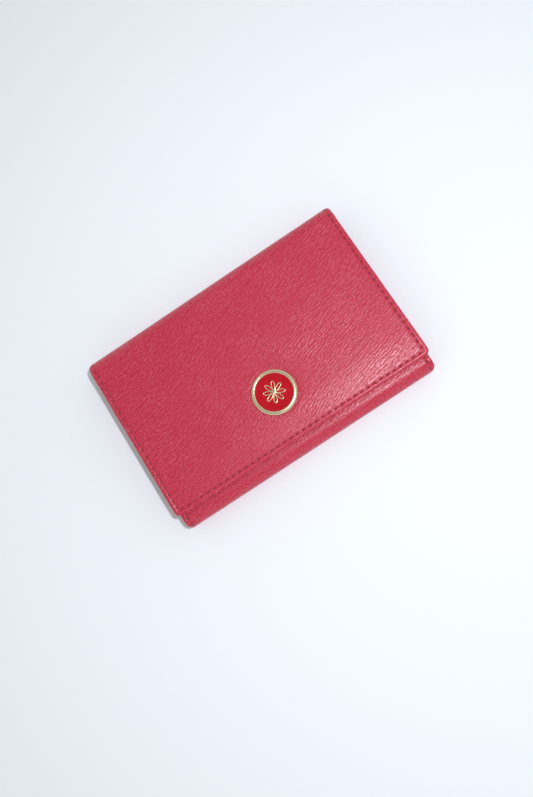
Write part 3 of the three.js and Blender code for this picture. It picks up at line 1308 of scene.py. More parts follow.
        rows = [self.start + (self.stop - self.start) * k / count for k in range(count + 1)]
        sides = {side: [traced(side * (self.half(s) - inset), s) for s in rows] for side in (-1, 1)}
        if not self.free_end:
            return [sides[-1], sides[1]]
        reach = self.edge.corner - inset
        bends = {-1: [], 1: []}
        for side, bend in bends.items():
            for k in range(1, 6):
                out, on = corner_way(math.pi / 2 * k / 6)
                x = side * (self.middle + reach * out)
                bend.append(traced(x, self.stop + self.heading * reach * on))
        s = self.stop + self.heading * reach
        count = round(2 * self.middle / MM)
        front = [traced((2 * k / count - 1) * self.middle, s) for k in range(count + 1)]
        return [sides[-1] + bends[-1] + front + bends[1][::-1] + sides[1][::-1]]


# ---------------------------------------------------------------------------------------------------------
# Stitching
# ---------------------------------------------------------------------------------------------------------


@dataclass
class Stitching:
    """Rows of lockstitch, laid by a Geometry Nodes tree along traced lines."""

    material: bpy.types.Material
    length: float = 1.95 * MM
    thread: float = 0.19 * MM
    dip: float = 0.32 * MM
    slant: float = math.radians(4)
    handle_reach: float = 0.98  # where the stitch's curve is held, as a share of half its length
    handle_rise: float = 0.36  # and how high, as a share of its dip
    resolution: int = 7  # steps along a stitch, and round its thread
    seed: int = 11
    tree: bpy.types.NodeTree = field(init=False)

    OUTWARD: ClassVar[str] = "outward"

    def __post_init__(self) -> None:
        """Build the tree once; every row shares it."""
        self.tree = self._build_tree()

    def _build_tree(self) -> bpy.types.NodeTree:
        """Make the tree that resamples a line and puts one stitch at each step.

        Returns:
            The tree.
        """
        tree = bpy.data.node_groups.new("lockstitch", "GeometryNodeTree")
        face = tree.interface
        face.new_socket("Geometry", in_out="INPUT", socket_type="NodeSocketGeometry")
        for name in ("Stitch Length", "Thread Radius", "Dip", "Slant"):
            face.new_socket(name, in_out="INPUT", socket_type="NodeSocketFloat")
        for name in ("Stitches", "Seed"):
            face.new_socket(name, in_out="INPUT", socket_type="NodeSocketInt")
        face.new_socket("Finish", in_out="INPUT", socket_type="NodeSocketMaterial")
        face.new_socket("Geometry", in_out="OUTPUT", socket_type="NodeSocketGeometry")
        graph = Graph(tree)
        given = graph.node("NodeGroupInput")
        take = {socket.name: Wire(graph, socket) for socket in given.socket.node.outputs if socket.name}

        line = graph.node("GeometryNodeMeshToCurve", None, {"Mesh": take["Geometry"]})
        steps = {"Curve": line, "Count": take["Stitches"]}
        line = graph.node("GeometryNodeResampleCurve", {"mode": "COUNT"}, steps)

        reach = take["Stitch Length"] * 0.5
        places = {}
        for name, out, up in (
            ("Start", -1.0, -1.0),
            ("Start Handle", -self.handle_reach, self.handle_rise),
            ("End Handle", self.handle_reach, self.handle_rise),
            ("End", 1.0, -1.0),
        ):
            corner = {"X": reach * out, "Z": take["Dip"] * up}
            places[name] = graph.node("ShaderNodeCombineXYZ", None, corner)
        places["Resolution"] = self.resolution
        spine = graph.node("GeometryNodeCurvePrimitiveBezierSegment", None, places)
        ring = {"Resolution": self.resolution, "Radius": take["Thread Radius"]}
        section = graph.node("GeometryNodeCurvePrimitiveCircle", None, ring)
        spine = self._store(graph, spine, TWIST_ALONG)
        section = self._store(graph, section, TWIST_ROUND)
        swept = {"Curve": spine, "Profile Curve": section, "Fill Caps": True}
        stitch = graph.node("GeometryNodeCurveToMesh", None, swept)

        tangent = graph.node("GeometryNodeInputTangent")
        kind = {"data_type": "FLOAT_VECTOR"}
        out = graph.node("GeometryNodeInputNamedAttribute", kind, {"Name": self.OUTWARD})
        aim = graph.node("FunctionNodeAlignRotationToVector", {"axis": "X"}, {"Vector": tangent})
        upright = {"axis": "Z", "pivot_axis": "X"}
        aim = graph.node("FunctionNodeAlignRotationToVector", upright, {"Rotation": aim, "Vector": out})
        spread = {2: take["Slant"] * 0.4, 3: take["Slant"] * 1.6, "Seed": take["Seed"]}
        turn = graph.node("FunctionNodeRandomValue", {"data_type": "FLOAT"}, spread, 1)
        yaw = graph.node("FunctionNodeAxisAngleToRotation", None, {"Axis": (0.0, 0.0, 1.0), "Angle": turn})
        turned = {"Rotation": aim, "Rotate By": yaw}
        aim = graph.node("FunctionNodeRotateRotation", {"rotation_space": "LOCAL"}, turned)
        laid = {"Points": line, "Instance": stitch, "Rotation": aim}
        rows = graph.node("GeometryNodeInstanceOnPoints", None, laid)
        plain = graph.node("GeometryNodeRealizeInstances", None, {"Geometry": rows})
        plain = graph.node("GeometryNodeSetMaterial", None, {"Geometry": plain, "Material": take["Finish"]})
        graph.node("NodeGroupOutput", None, {"Geometry": plain})
        return tree

    @staticmethod
    def _store(graph: Graph, curve: Wire, name: str) -> Wire:
        """Store how far along a curve each of its points is.

        Args:
            graph: the tree's graph.
            curve: the curve.
            name: the attribute's name.

        Returns:
            The curve with the shares on it.
        """
        share = graph.node("GeometryNodeSplineParameter", None, None, "Factor")
        settings = {"data_type": "FLOAT", "domain": "POINT"}
        inputs = {"Geometry": curve, "Name": name, "Value": share}
        return graph.node("GeometryNodeStoreNamedAttribute", settings, inputs)

    @staticmethod
    def _trimmed(run: Sequence[tuple[Vector, Vector]], trim: float) -> list[tuple[Vector, Vector]]:
        """Cut both ends off a line.

        Args:
            run: points with their outward directions.
            trim: the length to take off each end.

        Returns:
            The shorter line.
        """
        cut = list(run)
        for _ in range(2):
            spare = trim
            while len(cut) > 2 and (cut[1][0] - cut[0][0]).length <= spare:
                spare -= (cut[1][0] - cut[0][0]).length
                cut.pop(0)
            length = (cut[1][0] - cut[0][0]).length
            cut[0] = (cut[0][0].lerp(cut[1][0], spare / length), cut[0][1])
            cut.reverse()
        return cut

    def sew(self, name: str, sheet: Sheet) -> bpy.types.Object:
        """Lay stitches along a sheet's seam.

        Args:
            name: the object's name.
            sheet: the sheet, whose seam is traced.

        Returns:
            The stitches as one plain mesh.
        """
        runs = [self._trimmed(run, sheet.pitch / 2) for run in sheet.seam()]
        points = [point for run in runs for point, _ in run]
        outs = [out for run in runs for _, out in run]
        edges = []
        first = 0
        for run in runs:
            edges += [(first + k, first + k + 1) for k in range(len(run) - 1)]
            first += len(run)
        line = bpy.data.meshes.new(f"{name}_line")
        line.from_pydata([tuple(p) for p in points], edges, [])
        layer = line.attributes.new(self.OUTWARD, "FLOAT_VECTOR", "POINT")
        layer.data.foreach_set("vector", [value for out in outs for value in out])
        made = bpy.data.objects.new(name, line)
        bpy.context.scene.collection.objects.link(made)
        modifier = made.modifiers.new("lockstitch", "NODES")
        modifier.node_group = self.tree
        values = {
            "Stitch Length": self.length,
            "Thread Radius": self.thread,
            "Dip": self.dip,
            "Slant": self.slant,
            "Stitches": sheet.stitches,
            "Seed": self.seed,
            "Finish": self.material,
        }
        for socket in self.tree.interface.items_tree:
            if socket.in_out == "INPUT" and socket.name in values:
                modifier[socket.identifier] = values[socket.name]
        evaluated = made.evaluated_get(bpy.context.evaluated_depsgraph_get())
        mesh = bpy.data.meshes.new_from_object(evaluated)
        made.modifiers.remove(modifier)
        made.data = mesh
        bpy.data.meshes.remove(line)
        self._map_twist(mesh)
        mesh.shade_smooth()
        LOG.info("%s: %d stitches a line, %d faces", name, sheet.stitches, len(mesh.polygons))
        return made

    @staticmethod
    def _map_twist(mesh: bpy.types.Mesh) -> None:
        """Turn the two stored shares into the twist map.

        Args:
            mesh: the stitches' mesh, changed in place.
        """
        lengthwise = mesh.attributes[TWIST_ALONG].data
        around = mesh.attributes[TWIST_ROUND].data
        layer = mesh.uv_layers.new(name=TWIST_MAP)
        for loop in mesh.loops:
            k = loop.vertex_index
            layer.data[loop.index].uv = (lengthwise[k].value, around[k].value)


# ---------------------------------------------------------------------------------------------------------
# Sub-assemblies
# ---------------------------------------------------------------------------------------------------------


@dataclass(frozen=True)
class Bend:
    """The two bodies that a piece curves between, and the stretch that it curves over; the piece is not made
    to follow them.
    """

    first: Body
    second: Body
    start: Point
    end: Point


def settle(piece: bpy.types.Object, slot: Slot, carrier: Body | Bend, nodes: Sequence[str] = ()) -> None:
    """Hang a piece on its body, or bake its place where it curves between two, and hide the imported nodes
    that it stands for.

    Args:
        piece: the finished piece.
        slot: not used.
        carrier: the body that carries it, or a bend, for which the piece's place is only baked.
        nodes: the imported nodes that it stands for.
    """
    if isinstance(carrier, Bend):
        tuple(carrier.start)
        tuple(carrier.end)
        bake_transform(piece)
    else:
        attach(piece, carrier.value)
    if nodes:
        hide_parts(*nodes)


@dataclass
class Leatherwork:
    """What every sewn sub-assembly shares: the hide's line, the finishes, the stitching and the edges."""

    hide: Hide
    wardrobe: Wardrobe
    stitching: Stitching
    skin: float = 0.8 * MM
    lining: float = 0.5 * MM
    skin_border: float = 1.15 * MM
    lining_base: float = 1.2 * MM
    turn_rise: float = 0.35 * MM
    lining_trim: float = 0.25 * MM

    def lay_skin(self, sheet: Sheet, carrier: Body | Bend, nodes: Sequence[str] = ()) -> None:
        """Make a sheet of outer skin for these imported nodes."""
        settle(sheet.build(self.wardrobe.leather), Slot.LEATHER, carrier, nodes)

    def lay_lining(self, sheet: Sheet, carrier: Body | Bend, nodes: Sequence[str] = ()) -> None:
        """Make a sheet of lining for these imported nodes."""
        settle(sheet.build(self.wardrobe.lining), Slot.LINING, carrier, nodes)

    def sew(self, name: str, sheet: Sheet, carrier: Body | Bend, nodes: Sequence[str] = ()) -> None:
        """Lay a sheet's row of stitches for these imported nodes."""
        settle(self.stitching.sew(name, sheet), Slot.THREAD, carrier, nodes)

    def outer(
        self, name: str, start: float, end: float, free_end: bool = False, bead: float = 0.1 * MM
    ) -> Sheet:
        """Plan a stretch of the outer skin.

        Args:
            name: the piece's name.
            start: where it begins on the hide.
            end: where it ends.
            free_end: whether its end is a turned edge.
            bead: how proud the edge's roll stands.

        Returns:
            The sheet.
        """
        edge = Edge(self.skin, self.skin_border, bead=bead)
        return Sheet(name, self.hide, start, end, edge, free_end=free_end)

    def inner(self, name: str, start: float, end: float, free_end: bool = False) -> Sheet:
        """Plan a stretch of lining.

        Args:
            name: the piece's name.
            start: where it begins on the hide.
            end: where it ends.
            free_end: whether its end is a turned edge.

        Returns:
            The sheet.
        """
        trim = self.lining_trim
        edge = Edge(
            self.lining,
            self.lining,
            corner=2.45 * MM,
            round_over=0.4 * MM,
            border=2.2 * MM,
            seam_inset=1.8 * MM - trim,
            groove=0.1 * MM,
            bead=0.03 * MM,
        )
        if free_end:
            end -= math.copysign(trim, end - start)
        return Sheet(
            name,
            self.hide,
            start,
            end,
            edge,
            face=Face.INWARD,
            base=self.lining_base,
            turn_rise=self.turn_rise,
            trim=trim,
            free_end=free_end,
            step=0.8 * MM,
        )


@dataclass
class Flap:
    """The flap: skin, board, lining and its row of stitches."""

    work: Leatherwork

    def build(self) -> None:
        """Make the flap."""
        work, hide = self.work, self.work.hide
        skin = work.outer("flap_skin", hide.flap_start, hide.flap_end, free_end=True)
        work.lay_skin(skin, Body.FLAP, ["flap_leather"])
        work.sew("flap_stitches", skin, Body.FLAP, ["flap_thread"])
        lining = work.inner("flap_inside", hide.flap_start, hide.flap_end, free_end=True)
        work.lay_lining(lining, Body.FLAP, ["flap_lining"])
        work.sew("flap_inside_stitches", lining, Body.FLAP)


@dataclass
class Spine:
    """The round spine that joins the back to the flap and bends over its whole turn."""

    work: Leatherwork

    def build(self) -> None:
        """Make both halves of the spine."""
        hide = self.work.hide
        turn = hide.sizes.spine
        middle = (0.0, turn.y + turn.radius, turn.z)
        lower = Bend(Body.BACK, Body.SPINE, turn.foot(), middle)
        upper = Bend(Body.SPINE, Body.FLAP, middle, turn.crown())
        outer_nodes = ["spine_leather", "flap_root_leather"]
        inner_nodes = ["spine_lining", "flap_root_lining"]
        self._half("upper", 0.0, hide.flap_start, upper, outer_nodes, inner_nodes)
        self._half("lower", 0.0, hide.back_start, lower, ["spine_root_leather"], ["spine_root_lining"])

    def _half(
        self, place: str, start: float, end: float, bend: Bend, outer: list[str], inner: list[str]
    ) -> None:
        """Make one half of the spine.

        Args:
            place: its name.
            start: where it begins on the hide.
            end: where it ends.
            bend: how it bends.
            outer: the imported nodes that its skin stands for.
            inner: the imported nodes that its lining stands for.
        """
        work = self.work
        skin = work.outer(f"spine_skin_{place}", start, end, bead=0.07 * MM)
        work.lay_skin(skin, bend, outer)
        work.sew(f"spine_stitches_{place}", skin, bend)
        lining = work.inner(f"spine_inside_{place}", start, end)
        work.lay_lining(lining, bend, inner)


@dataclass
class Back:
    """The wall that the holder lies on, with the slip pocket on its inside."""

    work: Leatherwork

    def build(self) -> None:
        """Make the back."""
        work, hide = self.work, self.work.hide
        skin = work.outer("back_skin", hide.back_start, hide.back_end, bead=0.0)
        work.lay_skin(skin, Body.BACK, ["back_leather"])
        threads = ["back_left_thread", "back_right_thread"]
        work.sew("back_stitches", skin, Body.BACK, threads)
        lining = work.inner("back_inside", hide.back_start, hide.back_end)
        work.lay_lining(lining, Body.BACK, ["back_lining"])
        self._slip_pocket()

    def _slip_pocket(self) -> None:
        """Make the slip pocket, a sheet with a turned and creased mouth."""
        work, hide, sizes = self.work, self.work.hide, self.work.hide.sizes
        mouth = hide.back_start - (sizes.spine.y - sizes.slip_mouth)
        thickness = sizes.slip_high - sizes.slip_low
        edge = Edge(
            thickness,
            thickness,
            corner=2.45 * MM,
            round_over=0.3 * MM,
            border=2.2 * MM,
            seam_inset=1.55 * MM,
            groove=0.12 * MM,
            groove_width=0.2 * MM,
            bead=0.0,
        )
        pocket = Sheet(
            "slip_pocket_sheet",
            hide,
            hide.back_end,
            mouth,
            edge,
            face=Face.INWARD,
            base=sizes.slip_low,
            trim=work.lining_trim,
            free_end=True,
            step=0.8 * MM,
        )
        work.lay_lining(pocket, Body.BACK, ["slip_pocket"])


@dataclass
class Front:
    """The wall under the flap, and the roll that joins it to the back."""

    work: Leatherwork

    def build(self) -> None:
        """Make the front and the bottom roll."""
        work, hide = self.work, self.work.hide
        skin = work.outer("front_skin", hide.front_start, hide.front_end, free_end=True, bead=0.06 * MM)
        work.lay_skin(skin, Body.FRONT, ["front_leather"])
        threads = ["front_left_thread", "front_right_thread"]
        work.sew("front_stitches", skin, Body.FRONT, threads)
        lining = work.inner("front_inside", hide.front_start, hide.front_end, free_end=True)
        work.lay_lining(lining, Body.FRONT, ["front_lining"])
        turn = hide.sizes.roll
        bend = Bend(Body.BACK, Body.FRONT, turn.foot(), turn.crown())
        roll = work.outer("bottom_roll_skin", hide.back_end, hide.front_start, bead=0.04 * MM)
        nodes = ["bottom_roll_rear_leather", "bottom_roll_front_leather"]
        work.lay_skin(roll, bend, nodes)
        work.sew("bottom_roll_stitches", roll, bend)
        inside = work.inner("bottom_roll_inside", hide.back_end, hide.front_start)
        nodes = ["bottom_roll_rear_lining", "bottom_roll_front_lining"]
        work.lay_lining(inside, bend, nodes)


@dataclass
class Gussets:
    """The two side strips, folded inwards, that let the pocket open; they close the bottom roll too."""

    work: Leatherwork
    sheet: float = 0.45 * MM
    flange: float = 2.3 * MM
    setback: float = 0.2 * MM
    mouth_setback: float = 0.2 * MM
    roll_slack: float = 0.3 * MM
    roll_turn: float = 0.93  # how much of the bottom roll's quarter turn the strip follows
    roll_sections: int = 9
    tip_gap: float = 3.4 * MM
    sections: int = 44

    def build(self) -> None:
        """Make both strips."""
        sizes = self.work.hide.sizes
        low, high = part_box("left_gusset_rear_leaf"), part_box("left_gusset_front_leaf")
        rear, front = low[0].z + self.sheet / 2, high[1].z - self.sheet / 2
        fold = abs(low[1].x)
        low_end, high_end = (0.0, 0.0, sizes.slip_high), (0.0, 0.0, sizes.body_top - sizes.wall)
        bend = Bend(Body.BACK, Body.FRONT, low_end, high_end)
        for side, name in ((-1, "left"), (1, "right")):
            strip = self._strip(f"{name}_gusset", side, rear, front, fold)
            nodes = [f"{name}_gusset_rear_leaf", f"{name}_gusset_front_leaf"]
            settle(strip, Slot.LINING, bend, nodes)

    def _path(self, rear: float, front: float, outer: float, fold: float) -> list[Vector]:
        """Trace the strip's middle line in one section.

        Args:
            rear: height of its rear flange.
            front: height of its front flange.
            outer: distance of the flanges' edges from the middle.
            fold: distance of the inward fold from the middle.

        Returns:
            Points across and up.
        """
        inner = outer - self.flange
        points = [Vector((outer + (inner - outer) * k / 4, rear)) for k in range(5)]
        for k in range(1, 24):
            angle = math.pi * k / 24
            bulge = math.sin(angle)
            x = inner - (inner - fold) * bulge**1.4
            points.append(Vector((x, rear + (front - rear) * (1 - math.cos(angle)) / 2)))
        points += [Vector((inner + (outer - inner) * k / 4, front)) for k in range(5)]
        return points

    def _strip(self, name: str, side: int, rear: float, front: float, fold: float) -> bpy.types.Object:
        """Loft one strip from the mouth down into the bottom roll.

        Args:
            name: its name.
            side: -1 for left, 1 for right.
            rear: height of its rear flange.
            front: height of its front flange.
            fold: distance of the inward fold from the middle.

        Returns:
            The strip.
        """
        sizes = self.work.hide.sizes
        shell = Shell()
        top = sizes.mouth - self.mouth_setback
        reach = sizes.roll.radius - sizes.wall + self.roll_slack
        stations = [top - (top - sizes.roll.y) * k / self.sections for k in range(self.sections + 1)]
        count = self.roll_sections
        turns = [math.pi / 2 * k / count * self.roll_turn for k in range(1, count + 1)]
        sections = [(y, rear, front, sizes.body_half - self.setback, fold) for y in stations]
        for turn in turns:
            y = sizes.roll.y - reach * math.sin(turn)
            half = reach * math.cos(turn)
            ease = math.sin(turn)
            centre = (rear + front) / 2 * (1 - ease) + sizes.roll.z * ease
            half = min(half, (front - rear) / 2)
            outer = self.work.hide.half(self.work.hide.back_end - turn * sizes.roll.radius) - self.setback
            inward = fold + (outer - self.tip_gap - fold) * ease
            sections.append((y, centre - half, centre + half, outer, inward))
        rings = []
        for y, low, high, outer, inward in sections:
            middle = self._path(low, high, outer, inward)
            ring = self._outline(middle)
            run = 0.0
            line = []
            for k, point in enumerate(ring):
                run += (point - ring[k - 1]).length if k else 0.0
                line.append(shell.add(Vector((side * point.x, y, point.y)), (y, run), 1.6 * MM))
            rings.append(line)
        for first, second in zip(rings, rings[1:]):
            shell.bridge(first + first[:1], second + second[:1])
        shell.faces.append(tuple(rings[0]))
        shell.faces.append(tuple(reversed(rings[-1])))
        LOG.info("%s: %d points", name, len(shell.points))
        return shell.build(name, self.work.wardrobe.lining)

    def _outline(self, middle: list[Vector]) -> list[Vector]:
        """Give a middle line its thickness, with rounded ends.

        Args:
            middle: the middle line.

        Returns:
            The outline.
        """
        half = self.sheet / 2
        ahead = [(b - a).normalized() for a, b in zip(middle, middle[1:])]
        ways = [ahead[0]] + [(a + b).normalized() for a, b in zip(ahead, ahead[1:])] + [ahead[-1]]
        left = [p + Vector((-w.y, w.x)) * half for p, w in zip(middle, ways)]
        right = [p - Vector((-w.y, w.x)) * half for p, w in zip(middle, ways)]
        tip = middle[-1] + ways[-1] * half * 0.8
        tail = middle[0] - ways[0] * half * 0.8
        return left + [tip] + right[::-1] + [tail]


@dataclass
class Badge:
    """The round badge: a polished bezel, a red enamel disc and an eight-petalled flower of flat wire."""

    wardrobe: Wardrobe
    sizes: Sizes
    petals: int = 8
    wire: float = 0.3 * MM
    wire_height: float = 0.15 * MM
    petal_root: float = 0.5 * MM
    petal_length: float = 3.5 * MM
    petal_half: float = 0.74 * MM
    petal_points: int = 40
    hub: float = 0.8 * MM
    hub_height: float = 0.24 * MM
    lip: float = 0.7 * MM  # how far the bezel reaches in under the enamel
    crown: float = 0.03 * MM  # how far the enamel's face rises to its middle
    creep: float = 0.05 * MM  # and how far it climbs at its rim
    creep_width: float = 0.25 * MM

    def build(self) -> None:
        """Make the badge."""
        enamel_low, enamel_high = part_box("badge_enamel")
        inner = enamel_high.x
        self._bezel(inner)
        self._enamel(inner, enamel_low.z, enamel_high.z)
        self._flower(enamel_high.z)

    def _foot(self) -> Vector:
        """Find the middle of the badge's foot."""
        return self.sizes.badge.copy()

    def _bezel(self, inner: float) -> None:
        """Turn the bezel, a rounded ring with a polished bevel inside it.

        Args:
            inner: the radius of its opening.
        """
        outer = self.sizes.badge_radius
        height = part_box("badge_bezel")[1].z - self.sizes.badge.z
        corners = [
            (inner - self.lip, 0.02 * MM, 0.0),
            (outer - 0.12 * MM, 0.0, 0.04 * MM),
            (outer, 0.18 * MM, 0.08 * MM),
            (outer, height - 0.8 * MM, 0.2 * MM),
            (outer - 0.3 * MM, height - 0.3 * MM, 0.3 * MM),
            (outer - 0.8 * MM, height - 0.02 * MM, 0.3 * MM),
            (inner + 0.3 * MM, height - 0.02 * MM, 0.2 * MM),
            (inner, height - 0.3 * MM, 0.08 * MM),
            (inner, 0.52 * MM, 0.0),
            (inner - self.lip, 0.5 * MM, 0.0),
        ]
        ring = lathe("badge_ring", arc_profile(corners), self._foot(), self.wardrobe.gilt, 160)
        settle(ring, Slot.GILT, Body.FLAP, ["badge_bezel"])
        LOG.info("badge_ring: %d faces", len(ring.data.polygons))

    def _enamel(self, inner: float, low: float, high: float) -> None:
        """Turn the enamel disc, which creeps up the bezel at its rim.

        Args:
            inner: the radius of the bezel's opening.
            low: the height of the disc's foot.
            high: the height of its face.
        """
        foot = self._foot()
        base, top = low - foot.z, high - foot.z
        profile = [(0.0, base), (inner - 0.05 * MM, base), (inner - 0.02 * MM, base + 0.05 * MM)]
        profile.append((inner - 0.02 * MM, top + 0.05 * MM))
        for k in range(16):
            share = 1 - k / 15
            radius = (inner - 0.06 * MM) * share
            creep = self.creep * math.exp(-((inner - radius) / self.creep_width))
            crown = self.crown * (1 - share * share)
            profile.append((radius, top - self.crown + crown + creep))
        disc = lathe("badge_enamel_disc", profile, foot, self.wardrobe.enamel, 96)
        settle(disc, Slot.ENAMEL, Body.FLAP, ["badge_enamel"])
        LOG.info("badge_enamel_disc: %d faces", len(disc.data.polygons))

    def _petal(self) -> list[Vector]:
        """Trace one petal's outline, pointing along X.

        Returns:
            The outline.
        """
        points = []
        for k in range(self.petal_points):
            angle = 2 * math.pi * k / self.petal_points
            along = (1 - math.cos(angle)) / 2
            wide = math.sin(angle) * (0.55 + 0.45 * along)
            points.append(Vector((self.petal_root + self.petal_length * along, self.petal_half * wide, 0.0)))
        return points

    def _flower(self, top: float) -> None:
        """Lay the flower's petals as loops of flat wire, with a domed hub.

        Args:
            top: the height of the enamel's face.
        """
        work = bmesh.new()
        centre = Vector((self.sizes.badge.x, self.sizes.badge.y, top - 0.02 * MM))
        for petal in range(self.petals):
            turn = Matrix.Rotation(2 * math.pi * (petal + 0.5) / self.petals, 3, "Z")
            self._wire_loop(work, [centre + turn @ point for point in self._petal()])
        steps, rings = 32, 5
        base = [work.verts.new(centre + self._round(self.hub, k / steps)) for k in range(steps)]
        work.faces.new(base[::-1])
        for ring in range(1, rings):
            angle = math.pi / 2 * ring / rings
            middle = centre + Vector((0, 0, self.hub_height * math.sin(angle)))
            radius = self.hub * math.cos(angle)
            after = [work.verts.new(middle + self._round(radius, k / steps)) for k in range(steps)]
            for k in range(steps):
                work.faces.new((base[k], base[(k + 1) % steps], after[(k + 1) % steps], after[k]))
            base = after
        work.faces.new(base)
        flower = solid("badge_flower", work, self.wardrobe.gilt)
        settle(flower, Slot.GILT, Body.FLAP, ["badge_rosette"])
        LOG.info("badge_flower: %d faces", len(flower.data.polygons))

    @staticmethod
    def _round(radius: float, share: float) -> Vector:
        """Find the point at a share of the way round a level circle."""
        angle = 2 * math.pi * share
        return Vector((radius * math.cos(angle), radius * math.sin(angle), 0.0))

    def _wire_loop(self, work: bmesh.types.BMesh, path: list[Vector]) -> None:
        """Sweep a low oval section round a level loop.

        Args:
            work: the mesh that is being built.
            path: the loop.
        """
        sides = 8
        rings = []
        for k, point in enumerate(path):
            ahead = (path[(k + 1) % len(path)] - path[k - 1]).normalized()
            across = Vector((-ahead.y, ahead.x, 0.0))
            ring = []
            for step in range(sides):
                angle = 2 * math.pi * step / sides
                offset = across * (self.wire / 2 * math.cos(angle))
                lift = Vector((0, 0, self.wire_height * (0.3 + 0.7 * math.sin(angle))))
                ring.append(work.verts.new(point + offset + lift))
            rings.append(ring)
        for k, ring in enumerate(rings):
            after = rings[(k + 1) % len(rings)]
            for step in range(sides):
                across = (step + 1) % sides
                work.faces.new((ring[step], ring[across], after[across], after[step]))


@dataclass
class PressStud:
    """The press stud under the badge: a socket with two spring wires on the flap, and a stud on the front."""

    wardrobe: Wardrobe
    sizes: Sizes
    soft: float = 0.07 * MM
    sheet: float = 0.22 * MM
    flange: float = 1.0 * MM  # how far the socket's flange stands out of its body
    flange_height: float = 0.25 * MM
    cavity_wall: float = 0.5 * MM
    mouth_lip: float = 1.65 * MM
    rivet_bore: float = 1.25 * MM
    head: float = 1.95 * MM
    neck: float = 1.55 * MM
    stud_bore: float = 1.0 * MM
    hook: float = 0.3 * MM
    hook_turn: float = math.radians(80)

    def build(self) -> None:
        """Make the socket, its springs and the stud."""
        self._socket()
        self._springs()
        self._stud()

    def _socket(self) -> None:
        """Turn the socket."""
        low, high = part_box("snap_socket")
        centre = Vector((0, (low.y + high.y) / 2, low.z))
        flange, top = high.x, high.z - low.z
        body = flange - self.flange
        sheet, soft = self.sheet, self.soft
        cavity, mouth, bore = body - self.cavity_wall, body - self.mouth_lip, self.rivet_bore
        seat = self.sizes.flap_top - self.sizes.wall - low.z
        corners = [
            (mouth, sheet / 2, 0.0),
            (mouth, 0.0, soft),
            (body, 0.0, 0.2 * MM),
            (body, seat - self.flange_height, soft),
            (flange, seat - self.flange_height, soft),
            (flange, seat, soft),
            (body, seat, 0.0),
            (body, top, 0.1 * MM),
            (bore, top, 0.0),
            (bore, top - sheet, 0.0),
            (cavity, top - sheet, 0.1 * MM),
            (cavity, sheet, 0.08 * MM),
            (mouth, sheet, soft),
        ]
        socket = lathe("press_socket", arc_profile(corners), centre, self.wardrobe.gilt, 96)
        settle(socket, Slot.GILT, Body.FLAP, ["snap_socket"])
        LOG.info("press_socket: %d faces", len(socket.data.polygons))

    def _springs(self) -> None:
        """Bend the two spring wires, straight past the stud with turned-in ends."""
        for side, name in ((-1, "left"), (1, "right")):
            node = f"socket_spring_{name}"
            low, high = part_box(node)
            radius = (high.x - low.x) / 2
            x, z, y = (low.x + high.x) / 2, (low.z + high.z) / 2, (low.y + high.y) / 2
            half = (high.y - low.y) / 2 - radius
            path = self._hairpin(x, y, z, half, side)
            wire = tube(f"press_spring_{name}", path, radius * 0.94, self.wardrobe.steel)
            settle(wire, Slot.STEEL, Body.FLAP, [node])
            LOG.info("press_spring_%s: %d faces", name, len(wire.data.polygons))

    def _hairpin(self, x: float, y: float, z: float, half: float, side: int) -> list[Vector]:
        """Trace a straight wire whose ends hook outwards.

        Args:
            x: its middle.
            y: its middle.
            z: its middle.
            half: half its length.
            side: -1 for the left wire, 1 for the right.

        Returns:
            The wire's middle line.
        """
        ends: dict[int, list[Vector]] = {-1: [], 1: []}
        for end, points in ends.items():
            for k in range(6):
                turn = self.hook_turn * k / 5
                out = side * self.hook * (1 - math.cos(turn))
                points.append(Vector((x + out, y + end * (half - self.hook * (1 - math.sin(turn))), z)))
        return ends[-1][::-1] + ends[1]

    def _stud(self) -> None:
        """Turn the stud, with a waist under its rounded head."""
        low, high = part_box("snap_stud")
        centre = Vector((0, (low.y + high.y) / 2, low.z))
        flange, top = high.x, high.z - low.z
        head, neck, bore = self.head, self.neck, self.stud_bore
        corners = [
            (0.0, top - 0.3 * MM, 0.0),
            (bore, top - 0.3 * MM, 0.0),
            (bore, 0.0, 0.0),
            (flange, 0.0, self.soft),
            (flange, 0.16 * MM, self.soft),
            (neck, 0.3 * MM, 0.16 * MM),
            (neck, top - 0.52 * MM, 0.1 * MM),
            (head, top - 0.36 * MM, 0.12 * MM),
            (head - 0.02 * MM, top - 0.12 * MM, 0.12 * MM),
            (head - 0.3 * MM, top, 0.16 * MM),
            (0.55 * MM, top, 0.1 * MM),
            (0.4 * MM, top - 0.12 * MM, 0.05 * MM),
            (0.0, top - 0.14 * MM, 0.0),
        ]
        stud = lathe("press_stud", arc_profile(corners), centre, self.wardrobe.gilt, 96)
        settle(stud, Slot.GILT, Body.FRONT, ["snap_stud"])
        LOG.info("press_stud: %d faces", len(stud.data.polygons))


def tube(name: str, path: Sequence[Vector], radius: float, material: bpy.types.Material) -> bpy.types.Object:
    """Sweep a round section along an open line.

    Args:
        name: the object's name.
        path: the line.
        radius: the section's radius.
        material: its finish.

    Returns:
        The object, closed at both ends.
    """
    sides = 14
    work = bmesh.new()
    rings = []
    for k, point in enumerate(path):
        before, after = path[max(0, k - 1)], path[min(len(path) - 1, k + 1)]
        ahead = (after - before).normalized()
        across = ahead.cross(Vector((0, 0, 1))).normalized()
        up = across.cross(ahead)
        ring = []
        for step in range(sides):
            angle = 2 * math.pi * step / sides
            ring.append(work.verts.new(point + (across * math.cos(angle) + up * math.sin(angle)) * radius))
        rings.append(ring)
    for first, second in zip(rings, rings[1:]):
        for step in range(sides):
            after = (step + 1) % sides
            work.faces.new((first[step], first[after], second[after], second[step]))
    work.faces.new(rings[0])
    work.faces.new(rings[-1])
    return solid(name, work, material, math.radians(60))


